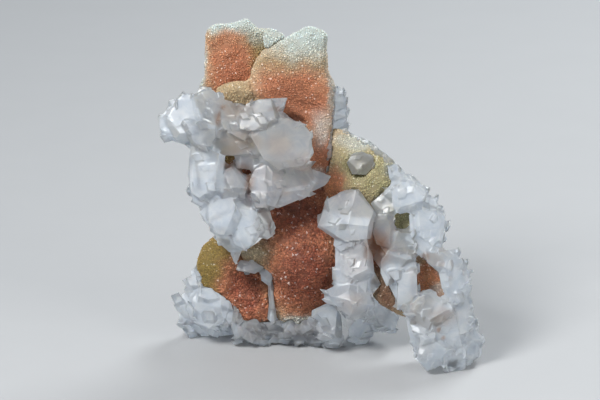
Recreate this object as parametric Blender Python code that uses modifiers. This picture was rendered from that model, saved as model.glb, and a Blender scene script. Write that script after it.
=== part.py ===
"""Calcite with dolomite: a standing mineral specimen, about 100 mm tall.

Upright blades and lobes of dolomite, covered with a fine druse, carry cascades
of pale calcite crystals. The specimen stands on the ends of its lowest crystals.

Outlines are in millimetres on a sheet that faces the viewer: across from the
specimen's middle, and up from its lowest front tip. A depth is in millimetres
along the world's Y axis, and grows towards the back.
"""

import math
import random

import bmesh
import bpy
from mathutils import Matrix, Vector, noise

# Driving dimensions, in millimetres and degrees
MM = 0.001
GAP = 0.3
WELD = 0.005
VIEW_HEIGHT = math.radians(18.0)
FRONT_FOOT_DEPTH = -22.0
FLOOR = 0.0
FLOOR_REACH = 0.08
BLOCK = 80.0
BACK_LEAN = 7.0
LEAN_SWING = 16.0
PLAIN_SIDE_BELOW = 0.1
SOCKET_GAP = 0.42
DRUSE_VOXEL = 1.2
DRUSE_ROUNDING = 0.22
LUMP_WIDTH = 6.0
LUMP_HEIGHT = 0.7
GRAIN_WIDTH = 2.4
GRAIN_HEIGHT = 0.25
POINT_SHOULDER = 0.62
POINT_LEAN = 36.0
FRINGE_FAN = 40.0
FRINGE_UNEVENNESS = 0.3
FRINGE_DEPTH_SPREAD = 1.5
BACK_SIDE = 180.0
BACK_SWING = 25.0
BACK_TILT = 14.0

CALCITE_WHITE = (0.82, 0.83, 0.86)
CALCITE_ROUGHNESS = 0.25
DRUSE_ROUGHNESS = 0.6
DOLOMITE_COLOURS = {
    "dolomite_main_body": (0.62, 0.25, 0.13),
    "dolomite_wing": (0.60, 0.45, 0.20),
    "dolomite_left_lobe": (0.60, 0.30, 0.12),
    "dolomite_blade_splinter": (0.75, 0.68, 0.58),
    "dolomite_left_blade": (0.70, 0.40, 0.25),
}

# Crystals of the hidden side: across, up, depth and half width
BACK_PLACES = (
    (-16, 32, 17, 4.6), (-8, 35, 17.5, 4.2), (-1, 31, 17, 4.4), (-14, 24, 20, 5.0),
    (-6, 26, 20, 4.6), (2, 23, 19, 4.2), (-10, 17, 22, 5.2), (-1.5, 16, 22, 4.8),
)

SIN_VIEW = math.sin(VIEW_HEIGHT)
COS_VIEW = math.cos(VIEW_HEIGHT)
FOOT_SHIFT = -FRONT_FOOT_DEPTH * SIN_VIEW


def clear_scene():
    """Remove the objects that the file opened with."""
    for item in list(bpy.data.objects):
        bpy.data.objects.remove(item, do_unlink=True)


def seen(across, up, depth):
    """World place, in millimetres, of a point of the sheet at a depth."""
    height = (up - depth * SIN_VIEW - FOOT_SHIFT) / COS_VIEW
    return Vector((across, depth, height))


def sheet_frame(middle, heading):
    """Frame of a crystal at middle: across, up the sheet, and out to the viewer.

    heading turns it about the upright axis, so 180 faces a crystal to the back.
    """
    across = Vector((1.0, 0.0, 0.0))
    up = Vector((0.0, SIN_VIEW, COS_VIEW))
    outward = Vector((0.0, -COS_VIEW, SIN_VIEW))
    facing = Matrix((across, up, outward)).transposed().to_4x4()
    turn = Matrix.Rotation(math.radians(heading), 4, "Z")
    return Matrix.Translation(middle) @ turn @ facing


def middle_of(outline):
    """Mean point of an outline."""
    count = len(outline)
    return (sum(p[0] for p in outline) / count, sum(p[1] for p in outline) / count)


def crystal(outline, depth, root, front=1.5, lean=34.0, tilt=(0.0, 0.0), faces=(), heading=0.0):
    """One crystal: its widest outline at a depth, and how it is cut to shape.

    root is the depth that its hidden end reaches, front how far its front face
    stands out, lean how much the rim slopes in to that face, tilt how far the
    face turns right and up, and faces lists further flat faces, each through
    three points (across, up, out).
    """
    return {"outline": outline, "depth": depth, "back": abs(root - depth) / COS_VIEW,
            "front": front, "lean": lean, "tilt": tilt, "faces": faces, "heading": heading}


def bed(outline, depth, root):
    """The older, hidden growth that a group's crystals stand on and that joins them."""
    return crystal(outline, depth, root, front=0.8, lean=40.0)


def crystal_planes(form):
    """The crystal's faces as (point, outward direction) in its own frame."""
    cx, cy = middle_of(form["outline"])
    rim = [Vector((x - cx, y - cy, 0.0)) for x, y in form["outline"]]
    if sum(a.x * b.y - b.x * a.y for a, b in zip(rim, rim[1:] + rim[:1])) < 0.0:
        rim.reverse()
    planes = []
    for index, (start, end) in enumerate(zip(rim, rim[1:] + rim[:1])):
        edge = (end - start).normalized()
        outward = Vector((edge.y, -edge.x, 0.0))
        swing = math.sin(2.4 * index + cx + 0.7 * cy)
        if swing < PLAIN_SIDE_BELOW:
            planes.append((start, outward))
            continue
        front = math.radians(form["lean"] + LEAN_SWING * swing)
        back = math.radians(BACK_LEAN)
        planes.append((start, outward * math.cos(front) + Vector((0.0, 0.0, math.sin(front)))))
        planes.append((start, outward * math.cos(back) - Vector((0.0, 0.0, math.sin(back)))))
    right, up = (math.tan(math.radians(angle)) for angle in form["tilt"])
    planes.append((Vector((0.0, 0.0, form["front"])), Vector((right, up, 1.0)).normalized()))
    planes.append((Vector((0.0, 0.0, -form["back"])), Vector((0.0, 0.0, -1.0))))
    for corners in form["faces"]:
        a, b, c = (Vector((x - cx, y - cy, z)) for x, y, z in corners)
        direction = (b - a).cross(c - a).normalized()
        if direction.z < 0.0:
            direction.negate()
        planes.append((a, direction))
    return planes


def cut_to(bm, point, outward):
    """Cut away what lies beyond a plane and close the cut with one face."""
    everything = bm.verts[:] + bm.edges[:] + bm.faces[:]
    cut = bmesh.ops.bisect_plane(bm, geom=everything, dist=1e-5, plane_co=point,
                                 plane_no=outward, clear_outer=True)
    rim = [item for item in cut["geom_cut"] if isinstance(item, bmesh.types.BMEdge)]
    if rim:
        bmesh.ops.edgenet_fill(bm, edges=rim)


def crystal_mesh(form, grown=0.0):
    """A block cut down by the crystal's faces, each moved out by grown."""
    bm = bmesh.new()
    bmesh.ops.create_cube(bm, size=BLOCK)
    for point, outward in crystal_planes(form):
        cut_to(bm, point + outward * grown, outward)
    cx, cy = middle_of(form["outline"])
    frame = sheet_frame(seen(cx, cy, form["depth"]), form["heading"])
    bmesh.ops.transform(bm, matrix=frame, verts=bm.verts[:])
    floor = Vector((0.0, 0.0, FLOOR - grown))
    if min(vert.co.z for vert in bm.verts) < floor.z:
        cut_to(bm, floor, Vector((0.0, 0.0, -1.0)))
    bmesh.ops.remove_doubles(bm, verts=bm.verts[:], dist=0.02)
    bmesh.ops.recalc_face_normals(bm, faces=bm.faces[:])
    return mesh_of(bm, "crystal")


def mesh_of(bm, name):
    """Store a bmesh as a new mesh."""
    mesh = bpy.data.meshes.new(name)
    bm.to_mesh(mesh)
    bm.free()
    return mesh


def with_modifiers(mesh, add_modifiers):
    """The mesh as the modifiers that add_modifiers puts on it leave it."""
    item = bpy.data.objects.new("work", mesh)
    bpy.context.scene.collection.objects.link(item)
    add_modifiers(item)
    graph = bpy.context.evaluated_depsgraph_get()
    result = bpy.data.meshes.new_from_object(item.evaluated_get(graph), depsgraph=graph)
    bpy.data.objects.remove(item)
    return result


def combined(mesh, others, operation):
    """Boolean of a closed mesh with others: UNION joins them on, DIFFERENCE cuts them away."""
    if not others:
        return mesh
    tools = bpy.data.collections.new("tools")
    bpy.context.scene.collection.children.link(tools)
    for other in others:
        tools.objects.link(bpy.data.objects.new("tool", other))

    def add_boolean(item):
        change = item.modifiers.new("change", "BOOLEAN")
        change.operation = operation
        change.solver = "EXACT"
        change.operand_type = "COLLECTION"
        change.collection = tools

    result = with_modifiers(mesh, add_boolean)
    for tool in list(tools.objects):
        bpy.data.objects.remove(tool)
    bpy.data.collections.remove(tools)
    return result


def boxes_meet(mesh, other):
    """Whether the bounding boxes of two meshes overlap."""
    lows_and_highs = []
    for item in (mesh, other):
        places = [vert.co for vert in item.vertices]
        lows_and_highs.append([(min(p[k] for p in places), max(p[k] for p in places)) for k in range(3)])
    first, second = lows_and_highs
    return all(a[0] <= b[1] and b[0] <= a[1] for a, b in zip(first, second))


def largest_piece(mesh):
    """The mesh without the loose chips that cuts left, its small gaps welded."""
    bm = bmesh.new()
    bm.from_mesh(mesh)
    bmesh.ops.remove_doubles(bm, verts=bm.verts[:], dist=WELD)
    bmesh.ops.dissolve_degenerate(bm, edges=bm.edges[:], dist=WELD)
    left = set(bm.faces)
    pieces = []
    while left:
        front = [left.pop()]
        piece = []
        while front:
            face = front.pop()
            piece.append(face)
            for edge in face.edges:
                for beside in edge.link_faces:
                    if beside in left:
                        left.remove(beside)
                        front.append(beside)
        pieces.append(piece)
    pieces.sort(key=len)
    for piece in pieces[:-1]:
        bmesh.ops.delete(bm, geom=piece, context="FACES")
    loose = [vert for vert in bm.verts if not vert.link_faces]
    bmesh.ops.delete(bm, geom=loose, context="VERTS")
    return mesh_of(bm, mesh.name)


def grown_together(forms):
    """Union of a group's crystals."""
    crystals = [crystal_mesh(form) for form in forms]
    return largest_piece(combined(crystals[0], crystals[1:], "UNION"))


def simpler(mesh, triangles):
    """The mesh in a number of triangles, its least telling corners taken out first."""
    bm = bmesh.new()
    bm.from_mesh(mesh)
    bmesh.ops.triangulate(bm, faces=bm.faces[:])
    share_kept = min(1.0, triangles / len(bm.faces))

    def add_decimate(item):
        fewer = item.modifiers.new("fewer", "DECIMATE")
        fewer.ratio = share_kept

    return with_modifiers(mesh_of(bm, mesh.name), add_decimate)


def set_on_floor(mesh):
    """Bring the corners that stand within a hair of the floor exactly onto it."""
    for vert in mesh.vertices:
        if vert.co.z < FLOOR + FLOOR_REACH:
            vert.co.z = FLOOR


def without(mesh, forms):
    """Cut the sockets of crystals out of a mesh, each with the parting gap round it."""
    sockets = [crystal_mesh(form, GAP) for form in forms]
    near = [socket for socket in sockets if boxes_meet(mesh, socket)]
    return largest_piece(combined(mesh, near, "DIFFERENCE"))


def grown_copy(mesh, distance):
    """A copy of a mesh with its surface moved out by a distance."""
    bm = bmesh.new()
    bm.from_mesh(mesh)
    bm.normal_update()
    moves = [vert.normal * distance for vert in bm.verts]
    for vert, move in zip(bm.verts, moves):
        vert.co += move
    return mesh_of(bm, "grown")


def druse(outline, depth, thickness, triangles, slope=(0.0, 0.0), bumps=(), seed=0.0):
    """A dolomite blade or lobe: an outline on the sheet, thickened, bent and made lumpy.

    depth is its mid surface at the outline's middle, slope how that depth grows
    across and up the sheet. Each bump (across, up, half width, half height,
    forward) swells it towards the viewer, fully at the front, half at the back.
    """
    curve = bpy.data.curves.new("outline", "CURVE")
    curve.dimensions = "2D"
    curve.fill_mode = "BOTH"
    rounding = DRUSE_ROUNDING * thickness
    curve.extrude = 0.5 * thickness - rounding
    curve.bevel_depth = rounding
    curve.offset = -rounding
    spline = curve.splines.new("POLY")
    spline.points.add(len(outline) - 1)
    for point, (across, up) in zip(spline.points, outline):
        point.co = (across, up, 0.0, 1.0)
    spline.use_cyclic_u = True
    plate = bpy.data.objects.new("outline", curve)
    bpy.context.scene.collection.objects.link(plate)
    graph = bpy.context.evaluated_depsgraph_get()
    mesh = bpy.data.meshes.new_from_object(plate.evaluated_get(graph), depsgraph=graph)
    bpy.data.objects.remove(plate)

    def add_remesh(item):
        remesh = item.modifiers.new("even", "REMESH")
        remesh.mode = "VOXEL"
        remesh.voxel_size = DRUSE_VOXEL
        soften = item.modifiers.new("soften", "SMOOTH")
        soften.iterations = 1

    bm = bmesh.new()
    bm.from_mesh(mesh)
    bmesh.ops.remove_doubles(bm, verts=bm.verts[:], dist=0.01)
    even = with_modifiers(mesh_of(bm, "plate"), add_remesh)
    cx, cy = middle_of(outline)
    bm = bmesh.new()
    bm.from_mesh(even)
    for vert in bm.verts:
        across, up, out = vert.co
        share = 0.75 + 0.5 * out / thickness  # 1 on the front face and 0.5 on the back
        place = depth + slope[0] * (across - cx) + slope[1] * (up - cy) - out
        for x, y, half_width, half_height, forward in bumps:
            reach = ((across - x) / half_width) ** 2 + ((up - y) / half_height) ** 2
            place -= share * forward * math.exp(-reach)
        vert.co = seen(across, up, place)
    bm.normal_update()
    moves = []
    for vert in bm.verts:
        lump = noise.noise(vert.co / LUMP_WIDTH + Vector((seed, 0.0, 0.0)))
        grain = noise.noise(vert.co / GRAIN_WIDTH + Vector((0.0, seed, 0.0)))
        moves.append(vert.normal * (LUMP_HEIGHT * lump + GRAIN_HEIGHT * grain))
    for vert, move in zip(bm.verts, moves):
        vert.co += move
    return simpler(mesh_of(bm, "druse"), triangles)


def point(foot, tip, width, depth, root, front=0.8, heading=0.0):
    """A short crystal with a blunt, uneven wedge for an end, from its foot to its tip on the sheet."""
    start = Vector(foot)
    end = Vector(tip)
    side = (end - start).orthogonal().normalized() * 0.5 * width
    shoulder = start.lerp(end, POINT_SHOULDER)
    outline = [start - side, shoulder - side, end - side * 0.25, end + side * 0.1, shoulder + side,
               start + side]
    return crystal([tuple(place) for place in outline], depth, root, front=front, lean=POINT_LEAN,
                   heading=heading)


def fringe(path, count, length, seed, root_offset=4.0):
    """Short crystals along a path of (across, up, depth), pointing to its right."""
    chance = random.Random(seed)
    forms = []
    for index in range(count):
        along = (index + 0.5) / count * (len(path) - 1)
        step = min(int(along), len(path) - 2)
        start, end = (Vector(place) for place in path[step:step + 2])
        place = start.lerp(end, along - step)
        outward = Vector((end.y - start.y, start.x - end.x)).normalized()
        outward.rotate(Matrix.Rotation(math.radians(chance.uniform(-FRINGE_FAN, FRINGE_FAN)), 2))
        reach = length * chance.uniform(1.0 - FRINGE_UNEVENNESS, 1.0 + FRINGE_UNEVENNESS)
        foot = place.xy - outward * reach
        tip = place.xy + outward * reach * 0.3
        width = length * chance.uniform(0.7, 1.4)
        depth = place.z + chance.uniform(-FRINGE_DEPTH_SPREAD, FRINGE_DEPTH_SPREAD)
        forms.append(point(foot, tip, width, depth, depth + root_offset, front=0.3 * width))
    return forms


# Dolomite: the druse-covered blades and lobes

def left_blade():
    """Tall blade at the back left, with a broken, ragged top."""
    outline = [(-36.3, 86), (-35, 89), (-35.3, 93), (-34.8, 97), (-34.6, 102.3), (-31.5, 104.6),
               (-25.8, 104.8), (-23, 105.9), (-20.8, 104.5), (-20, 103), (-15.3, 103.2),
               (-12.5, 99), (-11, 90), (-12, 74), (-18, 64), (-28, 61), (-36, 68), (-38.2, 80)]
    return druse(outline, depth=12.0, thickness=6.0, triangles=330, slope=(0.05, 0.03), seed=1.0)


def blade_splinter():
    """Pale splinter of druse wedged between the tops of the two blades."""
    outline = [(-17.3, 96.5), (-17.2, 102.8), (-14.5, 102.9), (-11.8, 101.4), (-10.4, 99.6), (-11.5, 95.5)]
    return druse(outline, depth=5.4, thickness=4.0, triangles=90, seed=2.0)


def main_body():
    """Front right blade, running down through a narrow neck into the big lower lobe."""
    outline = [(-13.2, 99.3), (-10.5, 100.2), (-6.9, 102.6), (-4.6, 104.2), (-1.5, 103), (1.2, 101.4),
               (1.4, 97.5), (1.5, 91.2), (3.2, 86.6), (3.1, 73.5), (3, 58.5), (2.5, 52), (3.5, 44),
               (5.5, 36), (5, 30), (2.5, 24), (-0.5, 17), (-6, 12.6), (-11, 13), (-14.2, 18.5),
               (-15, 28), (-23, 33.2), (-24.5, 36), (-16.5, 40), (-17, 47), (-24, 49), (-30, 56),
               (-31, 66), (-30, 76), (-31.6, 82), (-31.2, 85.4), (-26.7, 87.2), (-21, 87),
               (-20.7, 91.2), (-18, 96)]
    bumps = [(-5.0, 31.0, 12.0, 13.0, 9.0), (-6.5, 52.0, 12.0, 7.0, -2.5), (-26.0, 84.0, 7.0, 3.0, 2.5),
             (-6.0, 93.0, 9.0, 8.0, 1.5), (-7.0, 79.0, 6.0, 5.0, -1.2)]
    return druse(outline, depth=6.5, thickness=8.0, triangles=1000, bumps=bumps, seed=3.0)


def left_lobe():
    """Lower left lobe: a cupped plate, yellow at its rim and darkest in its hollow."""
    outline = [(-31.8, 41.4), (-36, 37.2), (-37.3, 34), (-37.8, 30.6), (-36.4, 26), (-33, 20),
               (-28, 17), (-24.5, 14), (-20.4, 12.4), (-16, 14), (-15.6, 21), (-16.3, 28),
               (-19, 31), (-25, 36), (-28, 41)]
    bumps = [(-32.0, 31.0, 6.0, 9.0, 3.5), (-21.0, 28.0, 5.0, 4.0, -1.5), (-20.0, 18.0, 6.0, 5.0, 2.0)]
    return druse(outline, depth=8.0, thickness=6.5, triangles=330, slope=(-0.12, 0.0), bumps=bumps,
                 seed=4.0)


def wing():
    """Right wing: a sheet that slopes forward from the tall blade down to the right leg."""
    outline = [(0, 73), (7.2, 73.1), (9.3, 71.3), (12, 69.9), (15.9, 67.8), (18.6, 65.4), (22.2, 62.6),
               (26.1, 58.8), (32, 48), (36, 38), (38.8, 28), (39, 21), (34, 16), (25, 17), (18, 20),
               (13, 27), (8, 34), (3, 44), (0, 58)]
    bumps = [(14.0, 60.0, 8.0, 8.0, 2.0), (32.0, 30.0, 6.0, 7.0, -3.0), (19.5, 37.0, 4.5, 6.0, -2.0)]
    return druse(outline, depth=0.5, thickness=5.5, triangles=520, slope=(-0.16, 0.16), bumps=bumps,
                 seed=5.0)


# Calcite: the pale crystals that grew over the dolomite

def upper_cascade():
    """Stack of overlapping plates on the front of the tall blade."""
    return [
        crystal([(-41.7, 84), (-38.1, 83.4), (-36, 78.9), (-37.2, 69), (-41.1, 68.4), (-44.4, 69.6),
                 (-46.8, 70.5), (-48.5, 73), (-48.5, 76.5), (-44.1, 81.6)], 0, 1, front=1.0, tilt=(-8, 4)),
        crystal([(-43, 82), (-41.5, 83.5), (-38.7, 83.2), (-34.4, 73.6), (-37, 70), (-43.6, 70),
                 (-47.2, 76.6)], -4, 1, front=1.3, lean=34, tilt=(-4, 10)),
        crystal([(-42, 74.7), (-39.6, 76), (-31.6, 73.8), (-31.6, 70.5), (-34.5, 66.7), (-38.7, 68.4)],
                -7.5, 1, front=1.2, lean=30, tilt=(4, -8)),
        crystal([(-38, 83), (-35.3, 84.4), (-33.3, 84.9), (-30.6, 83.3), (-28.2, 81), (-29.4, 75),
                 (-30, 70), (-34.5, 71)], -3.5, 1, front=1.4, lean=52, tilt=(10, 2)),
        crystal([(-38, 83), (-36, 86), (-33, 85.4), (-31.5, 80), (-37, 78)], 3, 1, front=0.9, tilt=(-10,
                12)),
        crystal([(-29, 81.8), (-26.7, 81.2), (-25.4, 78.2), (-27.5, 74.5), (-30, 76)], -4, 1, front=0.9,
                lean=45),
        crystal([(-24.8, 76), (-22.5, 80.4), (-18.6, 81.8), (-15, 82), (-12.9, 77.4), (-13.4, 74.4),
                 (-16, 72.8), (-21, 72.4), (-24.4, 72.8)], -8, 1, front=1.3, lean=26, tilt=(-6, 14)),
        crystal([(-17, 82), (-9.8, 82.4), (-12.6, 76.7), (-14.2, 73), (-18, 72)], -6.5, 1, front=0.9,
                lean=55, tilt=(20, 0)),
        crystal([(-30, 79.3), (-24.6, 79), (-21.5, 73.5), (-23, 69.4), (-27.9, 72), (-30, 75)], -5, 1,
                front=1.0, lean=40, tilt=(-12, -6)),
        crystal([(-21.6, 71.4), (-17.4, 74.2), (-10.5, 76.2), (-6, 74.6), (-3.2, 71.6), (-2.7, 65.4),
                 (-5.5, 62.2), (-13.2, 61), (-17.5, 64.2)], -10, 1, front=1.4, lean=36, tilt=(4, 6),
                faces=[((-13, 76.5, 1.6), (-2.5, 71, 1.6), (-8, 71.5, 3.6))]),
        crystal([(-34, 67.3), (-31.2, 71), (-22.8, 71), (-19.6, 67), (-19.2, 64.6), (-29.3, 65.2)], -1.5, 1,
                front=0.8, lean=40, tilt=(0, -18)),
        crystal([(-26.4, 66), (-17.5, 66), (-17.6, 63), (-20.3, 60.8), (-25.4, 61.4)], -3, 1, front=0.8,
                lean=40, tilt=(6, -12)),
        crystal([(-38.8, 69.2), (-34.5, 67.4), (-28.7, 66), (-29.4, 60), (-30.2, 54.4), (-35.4, 51.5),
                 (-39, 54), (-40, 60), (-39.5, 66)], -7, 1, front=1.4, lean=34, tilt=(-8, 2),
                faces=[((-34.5, 67, 2.2), (-38.8, 69, 0.2), (-40, 59, 0.4))]),
        crystal([(-39.2, 54.4), (-38.5, 51), (-37.2, 50.2), (-34, 50.6), (-33.5, 55)], -3, 1, front=0.9,
                tilt=(-8, -14)),
        crystal([(-29.9, 60.6), (-27, 61.7), (-25.2, 60.4), (-21.8, 56.8), (-23.2, 52.6), (-29.9, 52.4)],
                -7, 1, front=1.4, lean=42, tilt=(-2, 16)),
        crystal([(-31, 55.5), (-24.6, 54), (-19.6, 53.4), (-19.4, 48), (-24, 46.5), (-30, 48)], -4.5, 1,
                front=1.4, lean=38, tilt=(4, 8)),
        crystal([(-21.9, 56.8), (-20.4, 60.8), (-16.8, 63.6), (-12.6, 61.4), (-13.2, 52), (-16.2, 49.4),
                 (-19.8, 49.6)], -7, 1, front=1.3, lean=48, tilt=(-14, 6)),
        crystal([(-16.5, 62), (-12.3, 61.2), (-11.6, 55), (-14, 49.6), (-17, 50.5)], -8.5, 1, front=0.9,
                lean=56, tilt=(10, 0)),
        crystal([(-14, 62), (-8, 62.6), (-3.4, 61.4), (-1.5, 57), (-4, 54), (-13.2, 49.4), (-15.6, 50)],
                -6, 1, front=1.5, lean=36, tilt=(6, -12)),
        crystal([(-8, 62), (-2.4, 61), (2.8, 59), (1, 56.2), (-3, 54.2), (-8, 53)], -4.5, 1,
                front=1.0, lean=40, tilt=(8, -14)),
        crystal([(-14.6, 56), (-4, 57), (-3.4, 53.4), (-13, 49.4)], -7.5, 1, front=0.7, lean=50, tilt=(4,
                -30)),
        crystal([(-34.3, 51.6), (-27, 52.6), (-24, 47.4), (-26.6, 41.5), (-32, 41.4), (-34.5, 46)], -9, 1,
                front=1.5, lean=34, tilt=(-10, 4)),
        crystal([(-26.5, 51), (-19.8, 49), (-18.4, 45), (-19, 40), (-23.1, 37), (-26.3, 38.8),
                 (-28, 44.4)], -8, 1, front=1.5, lean=34, tilt=(6, 6)),
        crystal([(-32.4, 43), (-27, 42.4), (-23.5, 38), (-24.4, 36.4), (-27.8, 36.2), (-31.4, 39.8)], -6,
                3, front=1.2, lean=38, tilt=(-4, -12)),
        crystal([(-36.7, 48.3), (-34, 50.4), (-32, 46), (-33.4, 43.4)], -5, 1, front=0.8, lean=48),
        crystal([(-33.8, 44), (-33.6, 42.6), (-31.9, 41.4), (-29.5, 42.5), (-31, 45)], -6, 1, front=0.7),
        crystal([(-20.4, 50), (-17.1, 51.2), (-15.4, 48.3), (-13.9, 41.8), (-16.4, 40), (-19.4, 41)], -2.5,
                3, front=0.9, lean=30, tilt=(16, -4)),
        crystal([(-27.8, 38.5), (-24, 38.5), (-24.2, 36), (-25.8, 32.2), (-27.4, 35.5)], -4, 1, front=0.9,
                lean=48, tilt=(-6, -6)),
        crystal([(-19.8, 48.9), (-18.3, 45.6), (-17.2, 42.6), (-18.6, 41), (-20.5, 43)], -5, 1, front=0.7,
                tilt=(18, 0)),
        bed([(-40, 72), (-31, 81), (-13, 79), (-6, 74), (-8, 66), (-33, 65)], -2.5, 4.5),
        bed([(-38, 68), (-31, 68), (-31.5, 53), (-36, 53)], -2.5, 4),
        bed([(-34, 56), (-31, 56), (-24, 50), (-19, 52), (-18, 44), (-25, 38), (-32, 43)], -4, 3.5),
        bed([(-19.6, 60), (-15, 64), (-3, 63), (-4, 56), (-14, 51), (-20, 51)], -3, 4),
    ]


def lower_left_cluster():
    """Rounded disc with smaller crystals round it at the foot of the left lobe."""
    return [
        crystal([(-38.9, 23), (-36.6, 25.4), (-33, 24.8), (-29.1, 22.2), (-28.3, 18), (-30.4, 14.2),
                 (-34.2, 12.7), (-37.8, 14.2), (-39.6, 18)], 3, 11, front=1.5, lean=30, tilt=(-4, 10),
                faces=[((-39, 17.4, 1.2), (-29, 16.6, 1.8), (-34, 12.4, 0.4))]),
        crystal([(-37, 25.8), (-33.2, 25.2), (-30.6, 21.4), (-34, 20), (-37.5, 21)], 3, 10, front=1.3,
                lean=44, tilt=(10, 14)),
        crystal([(-42.5, 27.7), (-39.3, 28), (-35.2, 26.2), (-37.6, 23.4), (-40.2, 25)], 7, 12, front=0.7,
                lean=45, tilt=(-8, 10)),
        crystal([(-40, 25), (-43.3, 22.3), (-43.3, 20.2), (-42, 18), (-38.6, 16), (-36.6, 22)], 6, 12,
                front=1.2, lean=42, tilt=(-16, 8)),
        crystal([(-42.2, 18.8), (-42.8, 15.9), (-43.3, 13), (-40.8, 14.1), (-38, 14.6), (-38.5, 19.5)], 7,
                13, front=0.9, lean=42, tilt=(-12, -6)),
        crystal([(-41.3, 14.4), (-39.6, 12.2), (-37.6, 11.4), (-33.4, 11.2), (-30, 12), (-29, 17),
                 (-38, 18)], 9.5, 18, front=1.7, lean=30, tilt=(0, -18)),
        crystal([(-33.4, 13), (-30.9, 10.6), (-27.2, 11.6), (-27, 17), (-32, 17)], 11, 18, front=1.4,
                lean=36, tilt=(8, -14)),
        crystal([(-39.6, 30.4), (-37.8, 31.8), (-36, 28.6), (-37.6, 26.6), (-39.4, 28)], 7, 11, front=0.8),
        crystal([(-31, 22), (-27.6, 21.4), (-26.2, 16.5), (-28.8, 13.2), (-31, 16.5)], 3.5, 10, front=0.9,
                lean=42, tilt=(14, -2)),
        crystal([(-30.9, 15.4), (-29.2, 15.6), (-28.4, 13.4), (-29.8, 12), (-31, 13)], 6, 11, front=0.8),
    ] + fringe([(-39.5, 26, 6), (-43, 21, 7), (-42.5, 17, 8), (-43, 13.6, 8)], 5, 2.2, seed=11)


def lower_vein():
    """Thin plates in the cleft between the two lower lobes."""
    return [
        crystal([(-25.9, 30.9), (-24.6, 33.6), (-20.1, 33.2), (-17.3, 31.6), (-20.1, 29.6)], -1.5, 4.5,
                front=0.7, lean=52, tilt=(4, 16)),
        crystal([(-18.2, 27.6), (-18.6, 31), (-15.6, 31.2), (-14.9, 29), (-15.4, 25.6)], -1, 5, front=0.7,
                lean=44, tilt=(14, 8)),
        crystal([(-16.4, 29), (-14.8, 28.2), (-14.2, 23), (-14.2, 19), (-15.8, 19), (-16.2, 24)], -0.5, 5.5,
                front=0.8, lean=30, tilt=(16, 0)),
        crystal([(-15.9, 21), (-14.2, 21), (-13.6, 16.8), (-14.6, 14.4), (-16.4, 16)], 0, 5.8, front=0.8,
                lean=30, tilt=(-10, 0)),
    ]


def base_fringe():
    """Row of crystals along the lower edge, from the left cluster to the arch."""
    hand_placed = [
        crystal([(-26.6, 19.8), (-24.3, 16.5), (-23.5, 11.3), (-25.8, 9.7), (-27.4, 13.4)], 1, 8, front=1.2,
                lean=40, tilt=(-10, -4)),
        crystal([(-24.6, 15.6), (-18, 14.6), (-17.6, 10.8), (-21.6, 9.4), (-24, 10.4)], 2, 9, front=1.3,
                lean=40, tilt=(4, 10)),
        crystal([(-18.6, 14.8), (-12.4, 15.2), (-12.8, 11), (-17, 10.8)], 2.5, 9, front=1.2, lean=40,
                tilt=(6, -8)),
        crystal([(-13.4, 15), (-9.4, 13), (-9.8, 10.6), (-13.4, 10.6)], 3, 9, front=0.9, lean=44,
                tilt=(-12, -4)),
        crystal([(-11, 13.4), (-5.2, 14.4), (-4.4, 9.8), (-9, 9.6)], 1.5, 9, front=1.3, lean=36,
                tilt=(-6, 4)),
        crystal([(-6.6, 14), (-3.2, 16.2), (-2.4, 12), (-4.2, 10.8)], -1, 7, front=1.0, lean=44,
                tilt=(-8, 12)),
        crystal([(-3, 18.6), (1.2, 20.6), (2.6, 20.8), (4.9, 18.3), (6.1, 16.5), (6.1, 10.7), (3.3, 9.8),
                 (-0.6, 11.6), (-3.2, 15.4)], -3.5, 6, front=1.6, lean=30, tilt=(-4, 6)),
        crystal([(-1.4, 12.4), (3.2, 11.4), (2.6, 8.7), (-0.6, 8.6)], 0.5, 7, front=1.0, lean=42,
                tilt=(2, -10)),
        crystal([(-5.6, 12.4), (-0.6, 12.4), (-1.6, 8.7), (-4.6, 8.8)], 2, 8, front=1.3, lean=36),
        crystal([(-28, 14), (-14, 14.6), (2, 14), (2, 9.4), (-10, 8.6), (-24, 9)], 6.5, 16, front=0.7,
                lean=24, tilt=(0, -10)),
    ]
    edge = [(5.4, 12.6, -1), (2, 11.4, 1), (-4, 11.2, 2), (-12, 12.2, 3), (-20, 11.8, 2), (-25.6, 12.2, 2)]
    second = [(4.5, 14.5, -3), (-3, 14.6, -2), (-12, 15.2, 0), (-23, 15.2, -0.5)]
    return hand_placed + fringe(edge, 11, 3.6, seed=21) + fringe(second, 6, 3.2, seed=22)


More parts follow.
